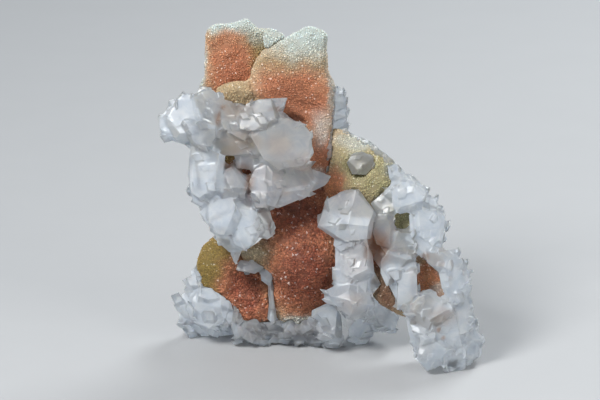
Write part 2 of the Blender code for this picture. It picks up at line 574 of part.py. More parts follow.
def rhomb_cluster():
    """Large rhomb at the neck, and the blocky crystals that hang below it."""
    peak = (7.8, 44.7, 6.2)
    ridge_top = (9.8, 52.6, 4.0)
    ridge_left = (-1.4, 43.8, 1.6)
    return [
        crystal([(-1.4, 43.8), (-0.6, 47), (1.6, 52.2), (7.2, 54.9), (11.6, 55.1), (13.6, 52), (16.2, 48.9),
                 (15.6, 44.7), (14.6, 40.4), (7.8, 39.6), (3.6, 40.4)], -8, -1, front=8.0, lean=8,
                faces=[(peak, ridge_top, ridge_left), (peak, ridge_top, (16.4, 47, 2.4)),
                       (peak, ridge_left, (7.4, 39.6, 3.6)), (peak, (16.4, 44, 3.0), (11, 39.6, 3.6))]),
        crystal([(3.4, 38.4), (5.7, 36.4), (11.6, 39.4), (11, 41.5), (4, 41.5)], -6.5, -1, front=1.5,
                lean=40,
                tilt=(-10, -14)),
        crystal([(5.5, 36.8), (12, 39.8), (15.2, 35.4), (15.8, 29.4), (11.4, 27.7), (6.7, 29.4),
                 (5.2, 33.3)], -7, -1, front=1.7, lean=36, tilt=(-8, 8)),
        crystal([(3.2, 31.7), (6.9, 33), (8.6, 28.5), (5.7, 26.2), (3.1, 28)], -6, -1, front=0.9, lean=44,
                tilt=(-14, 0)),
        crystal([(7.4, 34.4), (10.2, 34.2), (10, 31.8), (8.2, 31.6)], -8.5, -2, front=1.2, lean=30,
                tilt=(-6, 18)),
        crystal([(11.2, 28.6), (15.8, 30.4), (17.8, 26.6), (15, 23.6), (12, 24.6)], -5, -1, front=1.2,
                lean=42,
                tilt=(14, -4)),
        crystal([(1.3, 24.9), (5.4, 26.9), (12.2, 28), (14, 24.2), (17.9, 20.7), (14.7, 19), (8.6, 16.9),
                 (5.8, 18.6)], -8, -1, front=5.0, lean=34,
                faces=[((5.4, 20.6, 4.4), (14.2, 24.4, 4.4), (8, 28, 1.6)),
                       ((5.4, 20.6, 4.4), (14.2, 24.4, 4.4), (12, 18, 2.6))]),
        crystal([(5.6, 20.6), (8.6, 16.9), (10.9, 16.6), (7.8, 12.7), (6, 15.3)], -6, -1, front=1.0,
                lean=46,
                tilt=(6, -10)),
        crystal([(8.4, 20), (13.6, 20.4), (13.2, 17.2), (9.4, 15.6)], -6, -1, front=0.8, lean=40,
                tilt=(6, -20)),
        point((4.4, 22.6), (-0.6, 25), 1.8, -6.5, 0),
        point((4.8, 21), (0, 22), 2.0, -6.5, 0),
        bed([(4, 46), (13, 46), (14.5, 33), (13, 22), (6, 22), (4, 30)], -4.5, 3),
    ]


def wing_crystal():
    """Grey, rounded crystal half sunk in the wing's druse."""
    return [
        crystal([(7.4, 62.4), (9, 65), (12, 65.9), (15.1, 64.5), (15.8, 61.5), (13.2, 58.9), (9, 59)], -2.2,
                3, front=1.0, lean=48, tilt=(-6, 12)),
    ]


def right_cascade():
    """Cascade down the right side and the leg that it ends in."""
    hand_placed = [
        crystal([(21.2, 54.3), (23.8, 58), (26.6, 58), (30.7, 54.9), (30.2, 49.3), (23.2, 47.6),
                 (21.2, 50)], -6.5, 2, front=1.6, lean=34, tilt=(-4, 6)),
        crystal([(19.6, 61.4), (22.2, 62.8), (26.2, 58.9), (27.2, 57), (23.4, 56.4), (20.2, 58)], -3, 4,
                front=1.2, lean=42, tilt=(4, 14)),
        crystal([(26, 58.2), (29.1, 57.2), (30.8, 55.5), (31.4, 52.6), (28, 51.5)], -3.5, 3, front=1.0,
                lean=40, tilt=(12, 8)),
        crystal([(29.8, 53.4), (33.3, 52.3), (35.1, 50.1), (34.4, 47.6), (30, 47.8)], -4.5, 2, front=1.0,
                lean=40, tilt=(12, 6)),
        crystal([(27, 48), (33.8, 49), (36.9, 47), (36.7, 42.3), (35.7, 38.6), (30.9, 38), (27.4, 41)],
                -8, 1, front=1.6, lean=32, tilt=(6, 2)),
        crystal([(15.4, 47.6), (19.4, 49.4), (22.6, 48), (22, 43.8), (22.8, 41), (20.4, 37.3),
                 (16.4, 38.6), (14.6, 43.5)], -8.5, 1, front=1.5, lean=38, tilt=(-6, -6)),
        crystal([(14.6, 50.9), (18.6, 54.4), (21, 53.6), (21.4, 48.6), (16.4, 47)], -5.5, 1, front=1.2,
                lean=44, tilt=(-12, 10)),
        crystal([(14.4, 43), (18.4, 41), (19.6, 35.4), (17.4, 31.4), (14.8, 35), (13.6, 39.6)], -5, 1,
                front=1.4,
                lean=40, tilt=(-8, 6)),
        crystal([(20.8, 42.4), (26.9, 42), (28.2, 36.6), (20, 36.4)], -10, 0, front=1.3, lean=36,
                tilt=(-2, -8)),
        crystal([(26, 47.6), (28.4, 46), (28, 42), (26.4, 40)], -7.5, 1, front=1.0, lean=30, tilt=(-16, 0)),
        crystal([(20, 37.2), (25.8, 36.7), (27.3, 33.6), (24.6, 30), (21.9, 27.6), (19.3, 26), (17.5, 30),
                 (17.6, 33.3)], -12, -1, front=1.6, lean=34, tilt=(-10, 2)),
        crystal([(19.4, 30.4), (24.6, 31), (24.2, 28.8), (21.9, 27.6)], -14.4, -4, front=1.0, lean=36,
                tilt=(0, -14)),
        crystal([(24.4, 31.2), (28.2, 33.4), (28.6, 23.4), (26.2, 19), (22.3, 19), (22.6, 26)], -15, -3,
                front=1.4, lean=40, tilt=(-14, 2)),
        crystal([(19.6, 27.4), (23.8, 28.4), (24, 22.8), (22.4, 21.6)], -12, -2, front=1.0, lean=40,
                tilt=(-16, -6)),
        crystal([(27.2, 42), (33.4, 41), (33.6, 36.2), (29.8, 34.6), (27, 37.4)], -10, 0, front=1.2,
                lean=40,
                tilt=(0, 6)),
        crystal([(30.6, 39.6), (37.5, 36.9), (41.7, 34.3), (42.7, 32.4), (41.4, 29.8), (35.2, 30),
                 (31.4, 33.3)], -11, -2, front=1.6, lean=34, tilt=(8, 10)),
        crystal([(34.6, 31.6), (41.9, 30.6), (44.4, 27.9), (43.8, 24.9), (38.2, 22), (35.8, 25.5)], -13, -4,
                front=1.6, lean=36, tilt=(10, -4)),
        crystal([(24.2, 18.3), (28.5, 22.9), (32.4, 24.5), (37.5, 21.6), (39.8, 18.2), (31.8, 13)], -20, -9,
                front=2.1, lean=30, tilt=(-2, 12)),
        crystal([(36.6, 23.4), (43.2, 24), (44.6, 18.9), (45.3, 13), (39.9, 11), (37.6, 16.5)], -15, -6,
                front=1.7, lean=36, tilt=(10, 4)),
        crystal([(41.4, 15), (45.3, 13.4), (48.6, 10.8), (47.2, 8.4), (42, 8)], -14, -6, front=1.3, lean=42,
                tilt=(8, 10)),
        crystal([(39.6, 12), (45.9, 9.6), (47.6, 6), (44, 2.6), (39.4, 3.6)], -14.5, -7, front=1.5, lean=38,
                tilt=(12, -8)),
        crystal([(35, 9), (43.2, 9), (43, 1.4), (39.6, -0.6), (35.8, 2.2)], -18, -7, front=1.7, lean=34,
                tilt=(4, -4)),
        crystal([(33.6, 11.4), (40, 7.3), (35.4, 3), (31.2, 0.9), (28.3, 4.5), (29.2, 9)], -22, -12,
                front=1.6,
                lean=36, tilt=(-2, 4), faces=[((33.4, 11.4, 1.2), (31.4, 3, 3.0), (28, 6, 0.8))]),
        crystal([(35, 5), (38.4, 5), (36.6, 0.6)], -20, -12, front=0.9, lean=40),
        crystal([(27.6, 15.6), (39.9, 17.6), (42, 8), (35.4, 6), (28.4, 9)], -18, -7, front=1.4, lean=32,
                tilt=(2, -14)),
        crystal([(24.9, 17), (27.6, 16.6), (29.6, 6.4), (28.4, 5.2), (26.4, 10)], -17, -9, front=0.8,
                lean=40, tilt=(-20, 0)),
        crystal([(26, 15.6), (31, 14.6), (31, 10.4), (27.4, 11.4)], -20, -11, front=0.8, lean=40,
                tilt=(-8, 22)),
        crystal([(29, 11.6), (34, 12.4), (33.4, 9.6), (29.6, 8.4)], -22.5, -14, front=0.8, lean=46,
                tilt=(0, 26)),
    ]
    beds = [
        bed([(16, 52), (22, 58), (27, 57), (32, 52), (31, 48), (22, 48.5)], -5, 3),
        bed([(28, 50), (34, 49), (36, 42), (35, 34), (30.5, 35), (27, 42)], -7, 2),
        bed([(13.5, 52), (22, 48.5), (21.6, 42.2), (28, 41), (28.6, 34), (19, 32), (17.5, 38), (14.5,
                42)], -7.5, 1),
        bed([(30, 37), (40, 34.5), (43, 27), (41, 20), (38, 21), (36, 30)], -10.5, -2),
        bed([(19.5, 34), (27.6, 34), (28.2, 24), (27, 19), (23.6, 20), (20.5, 27)], -11.5, 0),
        bed([(25, 18.4), (31, 22), (42.6, 21.4), (44, 12), (42.4, 6), (38, 4.4), (30, 8.6)], -14.2, -6.3),
    ]
    rim = [(25.6, 59.6, -1), (30.8, 55.4, -2), (34.6, 50.6, -3), (37, 46, -5), (36.4, 39.6, -7),
           (42, 34.4, -9), (43.8, 30, -11), (44, 24, -12), (45, 18, -12), (46.6, 12, -12), (47, 7, -13),
           (44, 2.4, -15), (40, 0.6, -17)]
    inner = [(30, 57, -4.5), (34, 47, -7), (34, 40, -9), (40, 31, -13), (42, 25, -15), (42, 14, -17),
             (44, 8, -17), (40, 4, -20)]
    along_rim = list(reversed(rim))
    along_inner = list(reversed(inner))
    return hand_placed + beds + fringe(along_rim, 17, 3.0, seed=31) + fringe(along_inner, 9, 3.0, seed=32)


def hanging_crystals():
    """Dim crystals that hang behind the arch between the base and the right leg."""
    return [
        crystal([(8, 14.1), (10.8, 18.4), (14.8, 17.4), (15.1, 12.6), (12, 8.3), (8.3, 9.6)], 4, 12,
                front=1.3, lean=36, tilt=(4, -8)),
        crystal([(15.6, 18.9), (18, 21.4), (21.6, 18.5), (23.2, 16.2), (21.9, 11.7), (17.6, 14.6)], 1, 9,
                front=1.3, lean=38, tilt=(8, 2)),
        point((16.2, 20), (17, 11.9), 3.2, 3, 10),
        crystal([(11, 19), (16, 22), (20, 21), (19, 16.4), (13, 15)], 3, 11, front=1.5, lean=38, tilt=(0,
                10)),
    ]


def edge_crystals():
    """Bluish crystals that show past the right edge of the tall blade, from its back."""
    return [
        crystal([(1, 86.4), (3.6, 86.4), (6.3, 85), (7.3, 82.5), (6.9, 79.6), (2, 78)], 11, 16, front=1.4),
        crystal([(1, 82), (6.9, 80.2), (8.2, 79.2), (7, 76.8), (1, 75)], 10.4, 16, front=1.3, tilt=(8, 6)),
        crystal([(1, 78), (6.9, 77.2), (8, 75.5), (7.1, 73.2), (1, 71)], 10.4, 16, front=1.3, tilt=(8, -6)),
    ]


def back_cluster():
    """Crystals low on the hidden side, down to the foot that the specimen leans back on."""
    chance = random.Random(41)
    forms = [
        crystal([(-20, 36), (-6, 40), (3, 32), (3, 20), (-12, 14), (-22, 24)], 15.5, 8, front=2.0,
                heading=BACK_SIDE),
    ]
    for across, up, depth, size in BACK_PLACES:
        outline = [(across + size * math.cos(turn), up + 0.8 * size * math.sin(turn))
                   for turn in (0.3, 1.3, 2.5, 3.4, 4.4, 5.5)]
        forms.append(crystal(outline, depth, depth - 8, front=1.6, lean=34,
                             heading=BACK_SIDE + chance.uniform(-BACK_SWING, BACK_SWING),
                             tilt=(chance.uniform(-BACK_TILT, BACK_TILT),
                                   chance.uniform(-BACK_TILT, BACK_TILT))))
    return forms


def add_node(name, mesh, collection, colour, roughness):
    """Put a mesh, given in millimetres, into the model with a material of its own."""
    mesh.transform(Matrix.Scale(MM, 4))
    mesh.name = name
    material = bpy.data.materials.new(name)
    material.use_nodes = True
    shader = material.node_tree.nodes["Principled BSDF"]
    shader.inputs["Base Color"].default_value = (*colour, 1.0)
    shader.inputs["Roughness"].default_value = roughness
    shader.inputs["Metallic"].default_value = 0.0
    mesh.materials.clear()
    mesh.materials.append(material)
    item = bpy.data.objects.new(name, mesh)
    collection.objects.link(item)


def centred(meshes):
    """Move meshes together, so that the middle of their base is the origin."""
    places = [vert.co for mesh in meshes for vert in mesh.vertices]
    middle = [(min(p[k] for p in places) + max(p[k] for p in places)) / 2 for k in (0, 1)]
    for mesh in meshes:
        mesh.transform(Matrix.Translation((-middle[0], -middle[1], 0.0)))


def build():
    """Make every piece, part them by their gaps, and add them to the scene."""
    clear_scene()
    collection = bpy.data.collections.new("calcite_with_dolomite")
    bpy.context.scene.collection.children.link(collection)
    calcite = {
        "calcite_upper_cascade": (upper_cascade(), 1380),
        "calcite_rhomb_cluster": (rhomb_cluster(), 470),
        "calcite_right_cascade": (right_cascade(), 2050),
        "calcite_lower_left_cluster": (lower_left_cluster(), 560),
        "calcite_lower_vein": (lower_vein(), 130),
        "calcite_base_fringe": (base_fringe(), 1020),
        "calcite_wing_crystal": (wing_crystal(), 40),
        "calcite_hanging_crystals": (hanging_crystals(), 150),
        "calcite_edge_crystals": (edge_crystals(), 110),
        "calcite_back_cluster": (back_cluster(), 420),
    }
    dolomite = {
        "dolomite_main_body": (main_body(), 1450),
        "dolomite_wing": (wing(), 1050),
        "dolomite_left_lobe": (left_lobe(), 560),
        "dolomite_blade_splinter": (blade_splinter(), 100),
        "dolomite_left_blade": (left_blade(), 440),
    }
    pieces = {}
    placed = []
    for name, (forms, triangles) in calcite.items():
        pieces[name] = simpler(without(grown_together(forms), placed), triangles)
        placed += forms
    neighbours = []
    for name, (whole, triangles) in dolomite.items():
        mesh = combined(whole, [other for other in neighbours if boxes_meet(whole, other)], "DIFFERENCE")
        neighbours.append(grown_copy(whole, SOCKET_GAP))
        pieces[name] = simpler(without(mesh, placed), triangles)
    for mesh in pieces.values():
        set_on_floor(mesh)
    centred(pieces.values())
    for name, mesh in pieces.items():
        colour = CALCITE_WHITE if name in calcite else DOLOMITE_COLOURS[name]
        add_node(name, mesh, collection, colour, CALCITE_ROUGHNESS if name in calcite else DRUSE_ROUGHNESS)


build()
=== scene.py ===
import math

import bmesh
import bpy
import numpy as np
from mathutils import Matrix, Vector


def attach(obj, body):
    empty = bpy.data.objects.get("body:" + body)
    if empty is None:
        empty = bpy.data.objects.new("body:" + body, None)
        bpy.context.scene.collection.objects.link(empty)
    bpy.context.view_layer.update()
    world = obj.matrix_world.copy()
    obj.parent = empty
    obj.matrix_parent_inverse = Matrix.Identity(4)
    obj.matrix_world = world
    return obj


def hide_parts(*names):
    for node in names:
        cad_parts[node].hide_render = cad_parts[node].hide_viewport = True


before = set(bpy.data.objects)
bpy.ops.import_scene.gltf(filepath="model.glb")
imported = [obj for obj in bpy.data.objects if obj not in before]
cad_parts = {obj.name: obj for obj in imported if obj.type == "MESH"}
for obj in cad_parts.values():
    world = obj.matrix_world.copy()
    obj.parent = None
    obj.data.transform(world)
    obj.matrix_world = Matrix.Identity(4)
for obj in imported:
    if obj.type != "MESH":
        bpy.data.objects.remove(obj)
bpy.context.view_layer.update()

MM = 0.001

# The view. The specimen stands on a plain pale floor in soft studio light,
# and the camera looks down on it a little, through a long lens from far away.
VIEW_HEIGHT = math.radians(18.0)
VIEW_CENTRE = Vector((-6.6, 0.0, 47.4)) * MM
VIEW_WIDTH = 180.0 * MM
VIEW_DISTANCE = 1.6
SENSOR_WIDTH = 36.0
FLOOR_COLOUR = (0.42, 0.425, 0.43, 1.0)
BACKDROP_COLOUR = (0.80, 0.90, 1.00, 1.0)
BACKDROP_STRENGTH = 0.30


def set_camera():
    """Camera at VIEW_DISTANCE from the specimen's middle, raised by VIEW_HEIGHT."""
    camera = bpy.data.objects.new("camera", bpy.data.cameras.new("camera"))
    bpy.context.scene.collection.objects.link(camera)
    camera.data.sensor_width = SENSOR_WIDTH
    camera.data.lens = SENSOR_WIDTH * VIEW_DISTANCE / VIEW_WIDTH
    camera.data.clip_end = 20.0
    outward = Vector((0.0, -math.cos(VIEW_HEIGHT), math.sin(VIEW_HEIGHT)))
    camera.location = VIEW_CENTRE + outward * VIEW_DISTANCE
    camera.rotation_euler = (math.pi / 2 - VIEW_HEIGHT, 0.0, 0.0)
    bpy.context.scene.camera = camera


def soft_light(name, place, power, width, colour=(1.0, 1.0, 1.0)):
    """Square area light at a place, turned to the specimen's middle."""
    data = bpy.data.lights.new(name, "AREA")
    data.energy = power
    data.size = width
    data.color = colour
    light = bpy.data.objects.new(name, data)
    bpy.context.scene.collection.objects.link(light)
    light.location = place
    light.rotation_euler = (VIEW_CENTRE - Vector(place)).to_track_quat("-Z", "Y").to_euler()


def set_stage():
    """Pale floor, even backdrop and three soft lights."""
    grid = bmesh.new()
    bmesh.ops.create_grid(grid, x_segments=4, y_segments=4, size=4.0)
    mesh = bpy.data.meshes.new("floor")
    grid.to_mesh(mesh)
    grid.free()
    floor = bpy.data.objects.new("floor", mesh)
    bpy.context.scene.collection.objects.link(floor)
    paint = bpy.data.materials.new("floor_paint")
    paint.use_nodes = True
    nodes = paint.node_tree.nodes
    links = paint.node_tree.links
    shader = nodes["Principled BSDF"]
    shader.inputs["Roughness"].default_value = 0.55
    place = nodes.new("ShaderNodeTexCoord")
    mottle = nodes.new("ShaderNodeTexNoise")
    mottle.inputs["Scale"].default_value = 60.0
    shade = nodes.new("ShaderNodeMix")
    shade.data_type = "RGBA"
    shade.inputs["A"].default_value = FLOOR_COLOUR
    shade.inputs["B"].default_value = tuple(0.97 * c for c in FLOOR_COLOUR[:3]) + (1.0,)
    links.new(place.outputs["Object"], mottle.inputs["Vector"])
    links.new(mottle.outputs["Fac"], shade.inputs["Factor"])
    links.new(shade.outputs["Result"], shader.inputs["Base Color"])
    mesh.materials.append(paint)
    world = bpy.data.worlds.new("studio")
    world.use_nodes = True
    world.node_tree.nodes["Background"].inputs["Color"].default_value = BACKDROP_COLOUR
    world.node_tree.nodes["Background"].inputs["Strength"].default_value = BACKDROP_STRENGTH
    bpy.context.scene.world = world
    soft_light("key", (-0.38, -0.42, 0.60), 7.5, 0.30)
    soft_light("fill", (0.60, -0.50, 0.30), 2.4, 0.40, (1.0, 0.97, 0.93))
    soft_light("rim", (0.30, 0.45, 0.50), 3.5, 0.30, (0.95, 0.98, 1.0))
    bpy.context.scene.view_settings.view_transform = "Standard"


set_camera()
set_stage()


# Dolomite: the upright blades and lobes of the matrix. A lumpy skin carries a fine druse
# of rhombs, half a millimetre across, which grew out of it with their points outwards.
SKIN_VOXEL = 0.6 * MM
LUMPS = ((3.2 * MM, 0.26 * MM), (1.3 * MM, 0.08 * MM))
DRUSE_PITCH = 0.44 * MM
DRUSE_SIZES = (0.20 * MM, 0.40 * MM)
DRUSE_LEAN = 0.38
TIP_WIDTH = 1.5
TIP_SUNK = 0.35
TIP_POINTS = 4
COARSER = 0.45
CALM = 0.35
GLINTS_ABOVE = 0.955
PIT_PITCH = 0.9 * MM
PITS_ABOVE = 0.42
FOOT_SHIFT = 6.8 * MM


def lattice_noise(points, pitch, seed):
    """Smooth noise from -1 to 1: random values on a cubic lattice, eased between its corners."""
    place = points / pitch + 11.7 * seed
    cell = np.floor(place).astype(np.int64)
    part = place - cell
    ease = part * part * (3.0 - 2.0 * part)
    total = np.zeros(len(points))
    for corner in range(8):
        step = np.array([corner & 1, corner >> 1 & 1, corner >> 2 & 1])
        key = (cell + step) @ np.array([73856093, 19349663, 83492791]) + 7919 * seed
        key = (key ^ (key >> 13)) * 1274126177
        value = ((key ^ (key >> 16)) & 65535) / 32767.5 - 1.0
        total += value * np.prod(np.where(step == 1, ease, 1.0 - ease), axis=1)
    return total


def places_of(mesh):
    """A mesh's points as an array."""
    flat = np.empty(len(mesh.vertices) * 3)
    mesh.vertices.foreach_get("co", flat)
    return flat.reshape(-1, 3)


def directions_of(mesh):
    """A mesh's point normals as an array."""
    flat = np.empty(len(mesh.vertices) * 3)
    mesh.vertices.foreach_get("normal", flat)
    return flat.reshape(-1, 3)


def waved(mesh, waves, seed):
    """Move a mesh's points in and out along their normals by noise of (pitch, height) waves."""
    points = places_of(mesh)
    directions = directions_of(mesh)
    for pitch, height in waves:
        points = points + directions * (height * lattice_noise(points, pitch, seed))[:, None]
    points[:, 2] = np.maximum(points[:, 2], 0.0)
    mesh.vertices.foreach_set("co", points.astype(np.float32).ravel())
    mesh.update()


def merged_copy(node, name):
    """A copy of a CAD node's mesh with the corners of its loose triangles merged."""
    form = bmesh.new()
    form.from_mesh(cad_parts[node].data)
    bmesh.ops.remove_doubles(form, verts=form.verts[:], dist=0.002 * MM)
    mesh = bpy.data.meshes.new(name)
    form.to_mesh(mesh)
    form.free()
    return mesh


def with_modifiers(mesh, add_modifiers):
    """The mesh as the modifiers that add_modifiers puts on it leave it."""
    item = bpy.data.objects.new("work", mesh)
    bpy.context.scene.collection.objects.link(item)
    add_modifiers(item)
    graph = bpy.context.evaluated_depsgraph_get()
    result = bpy.data.meshes.new_from_object(item.evaluated_get(graph), depsgraph=graph)
    bpy.data.objects.remove(item)
    return result


def scattered(mesh, pitch, chance):
    """Places about a pitch apart on a mesh's faces, the faces' directions and their areas.

    Random points are drawn by area, and one is kept in each cell of a grid of that pitch.
    """
    mesh.calc_loop_triangles()
    corners = np.empty(len(mesh.loop_triangles) * 3, np.int32)
    mesh.loop_triangles.foreach_get("vertices", corners)
    owner = np.empty(len(mesh.loop_triangles), np.int32)
    mesh.loop_triangles.foreach_get("polygon_index", owner)
    face_area = np.empty(len(mesh.polygons))
    mesh.polygons.foreach_get("area", face_area)
    triangle = places_of(mesh)[corners.reshape(-1, 3)]
    cross = np.cross(triangle[:, 1] - triangle[:, 0], triangle[:, 2] - triangle[:, 0])
    area = 0.5 * np.linalg.norm(cross, axis=1)
    count = int(3.0 * area.sum() / pitch ** 2)
    chosen = chance.choice(len(area), count, p=area / area.sum())
    a, b = np.sort(chance.random((2, count)), axis=0)
    weights = np.stack([a, b - a, 1.0 - b], axis=1)
    points = np.einsum("nk,nkj->nj", weights, triangle[chosen])
    cells = np.floor(points / pitch).astype(np.int64) @ np.array([1, 4096, 16777216])
    kept = np.unique(cells, return_index=True)[1]
    directions = cross[chosen[kept]] / (2.0 * area[chosen[kept], None])
    return points[kept], directions, face_area[owner[chosen[kept]]]


def mesh_from(name, corners, sides):
    """A mesh of many like pieces: corners is pieces by points by 3, sides one piece's faces."""
    count, points = corners.shape[:2]
    faces = np.arange(count)[:, None, None] * points + sides
    mesh = bpy.data.meshes.new(name)
    mesh.vertices.add(count * points)
    mesh.vertices.foreach_set("co", corners.astype(np.float32).ravel())
    mesh.loops.add(faces.size)
    mesh.loops.foreach_set("vertex_index", faces.astype(np.int32).ravel())
    mesh.polygons.add(count * len(sides))
    mesh.polygons.foreach_set("loop_start", np.arange(0, faces.size, sides.shape[1], dtype=np.int32))
    mesh.polygons.foreach_set("loop_total", np.full(count * len(sides), sides.shape[1], np.int32))
    mesh.update(calc_edges=True)
    return mesh


def unit(vectors):
    """The vectors brought to length one."""
    return vectors / np.linalg.norm(vectors, axis=1, keepdims=True)


def rhombs(middles, upright, across, sizes, stretch):
    """A mesh of rhombohedra, each a cube drawn out or pressed flat along its long diagonal.

    The diagonal stands along upright and is stretched; across is the level diagonal of one
    of the upper faces; size is half the cube's diagonal.
    """
    signs = np.array([[x, y, z] for x in (-1, 1) for y in (-1, 1) for z in (-1, 1)], float)
    axis = np.array([1.0, 1.0, 1.0]) / math.sqrt(3.0)
    side = np.array([1.0, -1.0, 0.0]) / math.sqrt(2.0)
    local = np.stack([signs @ side, signs @ np.cross(axis, side), signs @ axis], axis=1) / math.sqrt(3.0)
    spread = np.stack([across, np.cross(upright, across), upright * stretch], axis=1)
    corners = middles[:, None, :] + sizes[:, None, None] * np.einsum("ck,nkj->ncj", local, spread)
    quads = np.array([[0, 1, 3, 2], [4, 6, 7, 5], [0, 4, 5, 1], [2, 3, 7, 6], [0, 2, 6, 4], [1, 5, 7, 3]])
    return mesh_from("rhombs", corners, quads)


def druse_tips(places, outward, sizes, chance):
    """The tips of rhombohedra standing out of a skin: pyramids of three faces, leaning and turned at random.

    A tip's point lies a size above its place, its foot is sunk and half again as wide as it is high.
    """
    upright = unit(outward + DRUSE_LEAN * chance.normal(size=outward.shape))
    across = unit(np.cross(upright, chance.normal(size=outward.shape)))
    aside = np.cross(upright, across)
    turn = np.array([0.0, 2.0, 4.0]) * math.pi / 3.0
    foot = np.cos(turn)[None, :, None] * across[:, None, :] + np.sin(turn)[None, :, None] * aside[:, None, :]
    size = sizes[:, None, None]
    base = places[:, None, :] + size * (TIP_WIDTH * foot - TIP_SUNK * upright[:, None, :])
    point = places[:, None, :] + size * upright[:, None, :]
    sides = np.array([[0, 1, 3], [1, 2, 3], [2, 0, 3], [2, 1, 0]])
    return mesh_from("tips", np.concatenate([base, point], axis=1), sides)


def joined_mesh(name, meshes):
    """One mesh with the faces of several."""
    form = bmesh.new()
    for mesh in meshes:
        form.from_mesh(mesh)
    whole = bpy.data.meshes.new(name)
    form.to_mesh(whole)
    form.free()
    return whole


def piece_of(name, mesh, material, node_slot, *nodes):
    """Put a finished mesh into the scene, in place of the CAD nodes it stands for."""
    piece = bpy.data.objects.new(name, mesh)
    bpy.context.scene.collection.objects.link(piece)
    mesh.materials.clear()
    mesh.materials.append(material)
    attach(piece, "root")
    if nodes:
        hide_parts(*nodes)


def sheet_place(points):
    """Across and up, in millimetres, where a viewer at the camera sees a point."""
    up = points[:, 2] * math.cos(VIEW_HEIGHT) + points[:, 1] * math.sin(VIEW_HEIGHT) + FOOT_SHIFT
    return points[:, 0] / MM, up / MM


def line_cover(across, up, lines):
    """How near each point is to lines (from across, up, to across, up, half width): 1 on a line."""
    cover = np.zeros(len(across))
    for x0, y0, x1, y1, half_width in lines:
        share = ((across - x0) * (x1 - x0) + (up - y0) * (y1 - y0)) / ((x1 - x0) ** 2 + (y1 - y0) ** 2)
        share = np.clip(share, 0.0, 1.0)
        distance = np.hypot(across - x0 - share * (x1 - x0), up - y0 - share * (y1 - y0))
        cover = np.maximum(cover, np.exp(-(distance / half_width) ** 2))
    return cover


def patch_cover(across, up, patches):
    """How much soft oval patches (across, up, half width, half height, strength) cover each point."""
    bare = np.ones(len(across))
    for x, y, half_width, half_height, strength in patches:
        reach = ((across - x) / half_width) ** 2 + ((up - y) / half_height) ** 2
        bare *= 1.0 - np.clip(strength * np.exp(-reach ** 2), 0.0, 1.0)
    return 1.0 - bare


def store_colour(mesh, name, channels):
    """Store four values a point as a colour attribute."""
    stored = mesh.attributes.new(name, "FLOAT_COLOR", "POINT")
    stored.data.foreach_set("color", np.stack(channels, axis=1).astype(np.float32).ravel())


def stain_and_shade(mesh, zones, skin_points, coarseness, chance):
    """Store how rusty, pale, golden and deep brown each point is, the deep brown mostly painted shade, and a tone
    for each grain.

    The tones lie nearer the middle where the druse is not coarse, except in glinting grains. The skin gets a low
    tone, which paints it darker between the grains: painted shade.
    """
    points = places_of(mesh)
    grains = points[skin_points:].reshape(-1, TIP_POINTS, 3)
    points[skin_points:] = np.repeat(grains.mean(axis=1), TIP_POINTS, axis=0)
    across, up = sheet_place(points)
    across = across + 1.0 * lattice_noise(points, 3.4 * MM, 3) + 0.5 * lattice_noise(points, 1.1 * MM, 4)
    up = up + 1.0 * lattice_noise(points, 3.4 * MM, 5) + 0.5 * lattice_noise(points, 1.1 * MM, 6)
    covers = [patch_cover(across, up, zones[name]) for name in ("rust", "pale", "gold", "deep")]
    store_colour(mesh, "zones", covers)
    # The skin's low tone paints it darker than the grains: painted shade in the pits and gaps between them.
    tone = np.full(len(points), 0.1)
    drawn = chance.random(len(grains))
    calmed = 0.5 + (drawn - 0.5) * (1.0 - CALM * (1.0 - coarseness))
    tone[skin_points:] = np.repeat(np.where(drawn > GLINTS_ABOVE, drawn, calmed), TIP_POINTS)
    stored = mesh.attributes.new("tone", "FLOAT", "POINT")
    stored.data.foreach_set("value", tone.astype(np.float32))


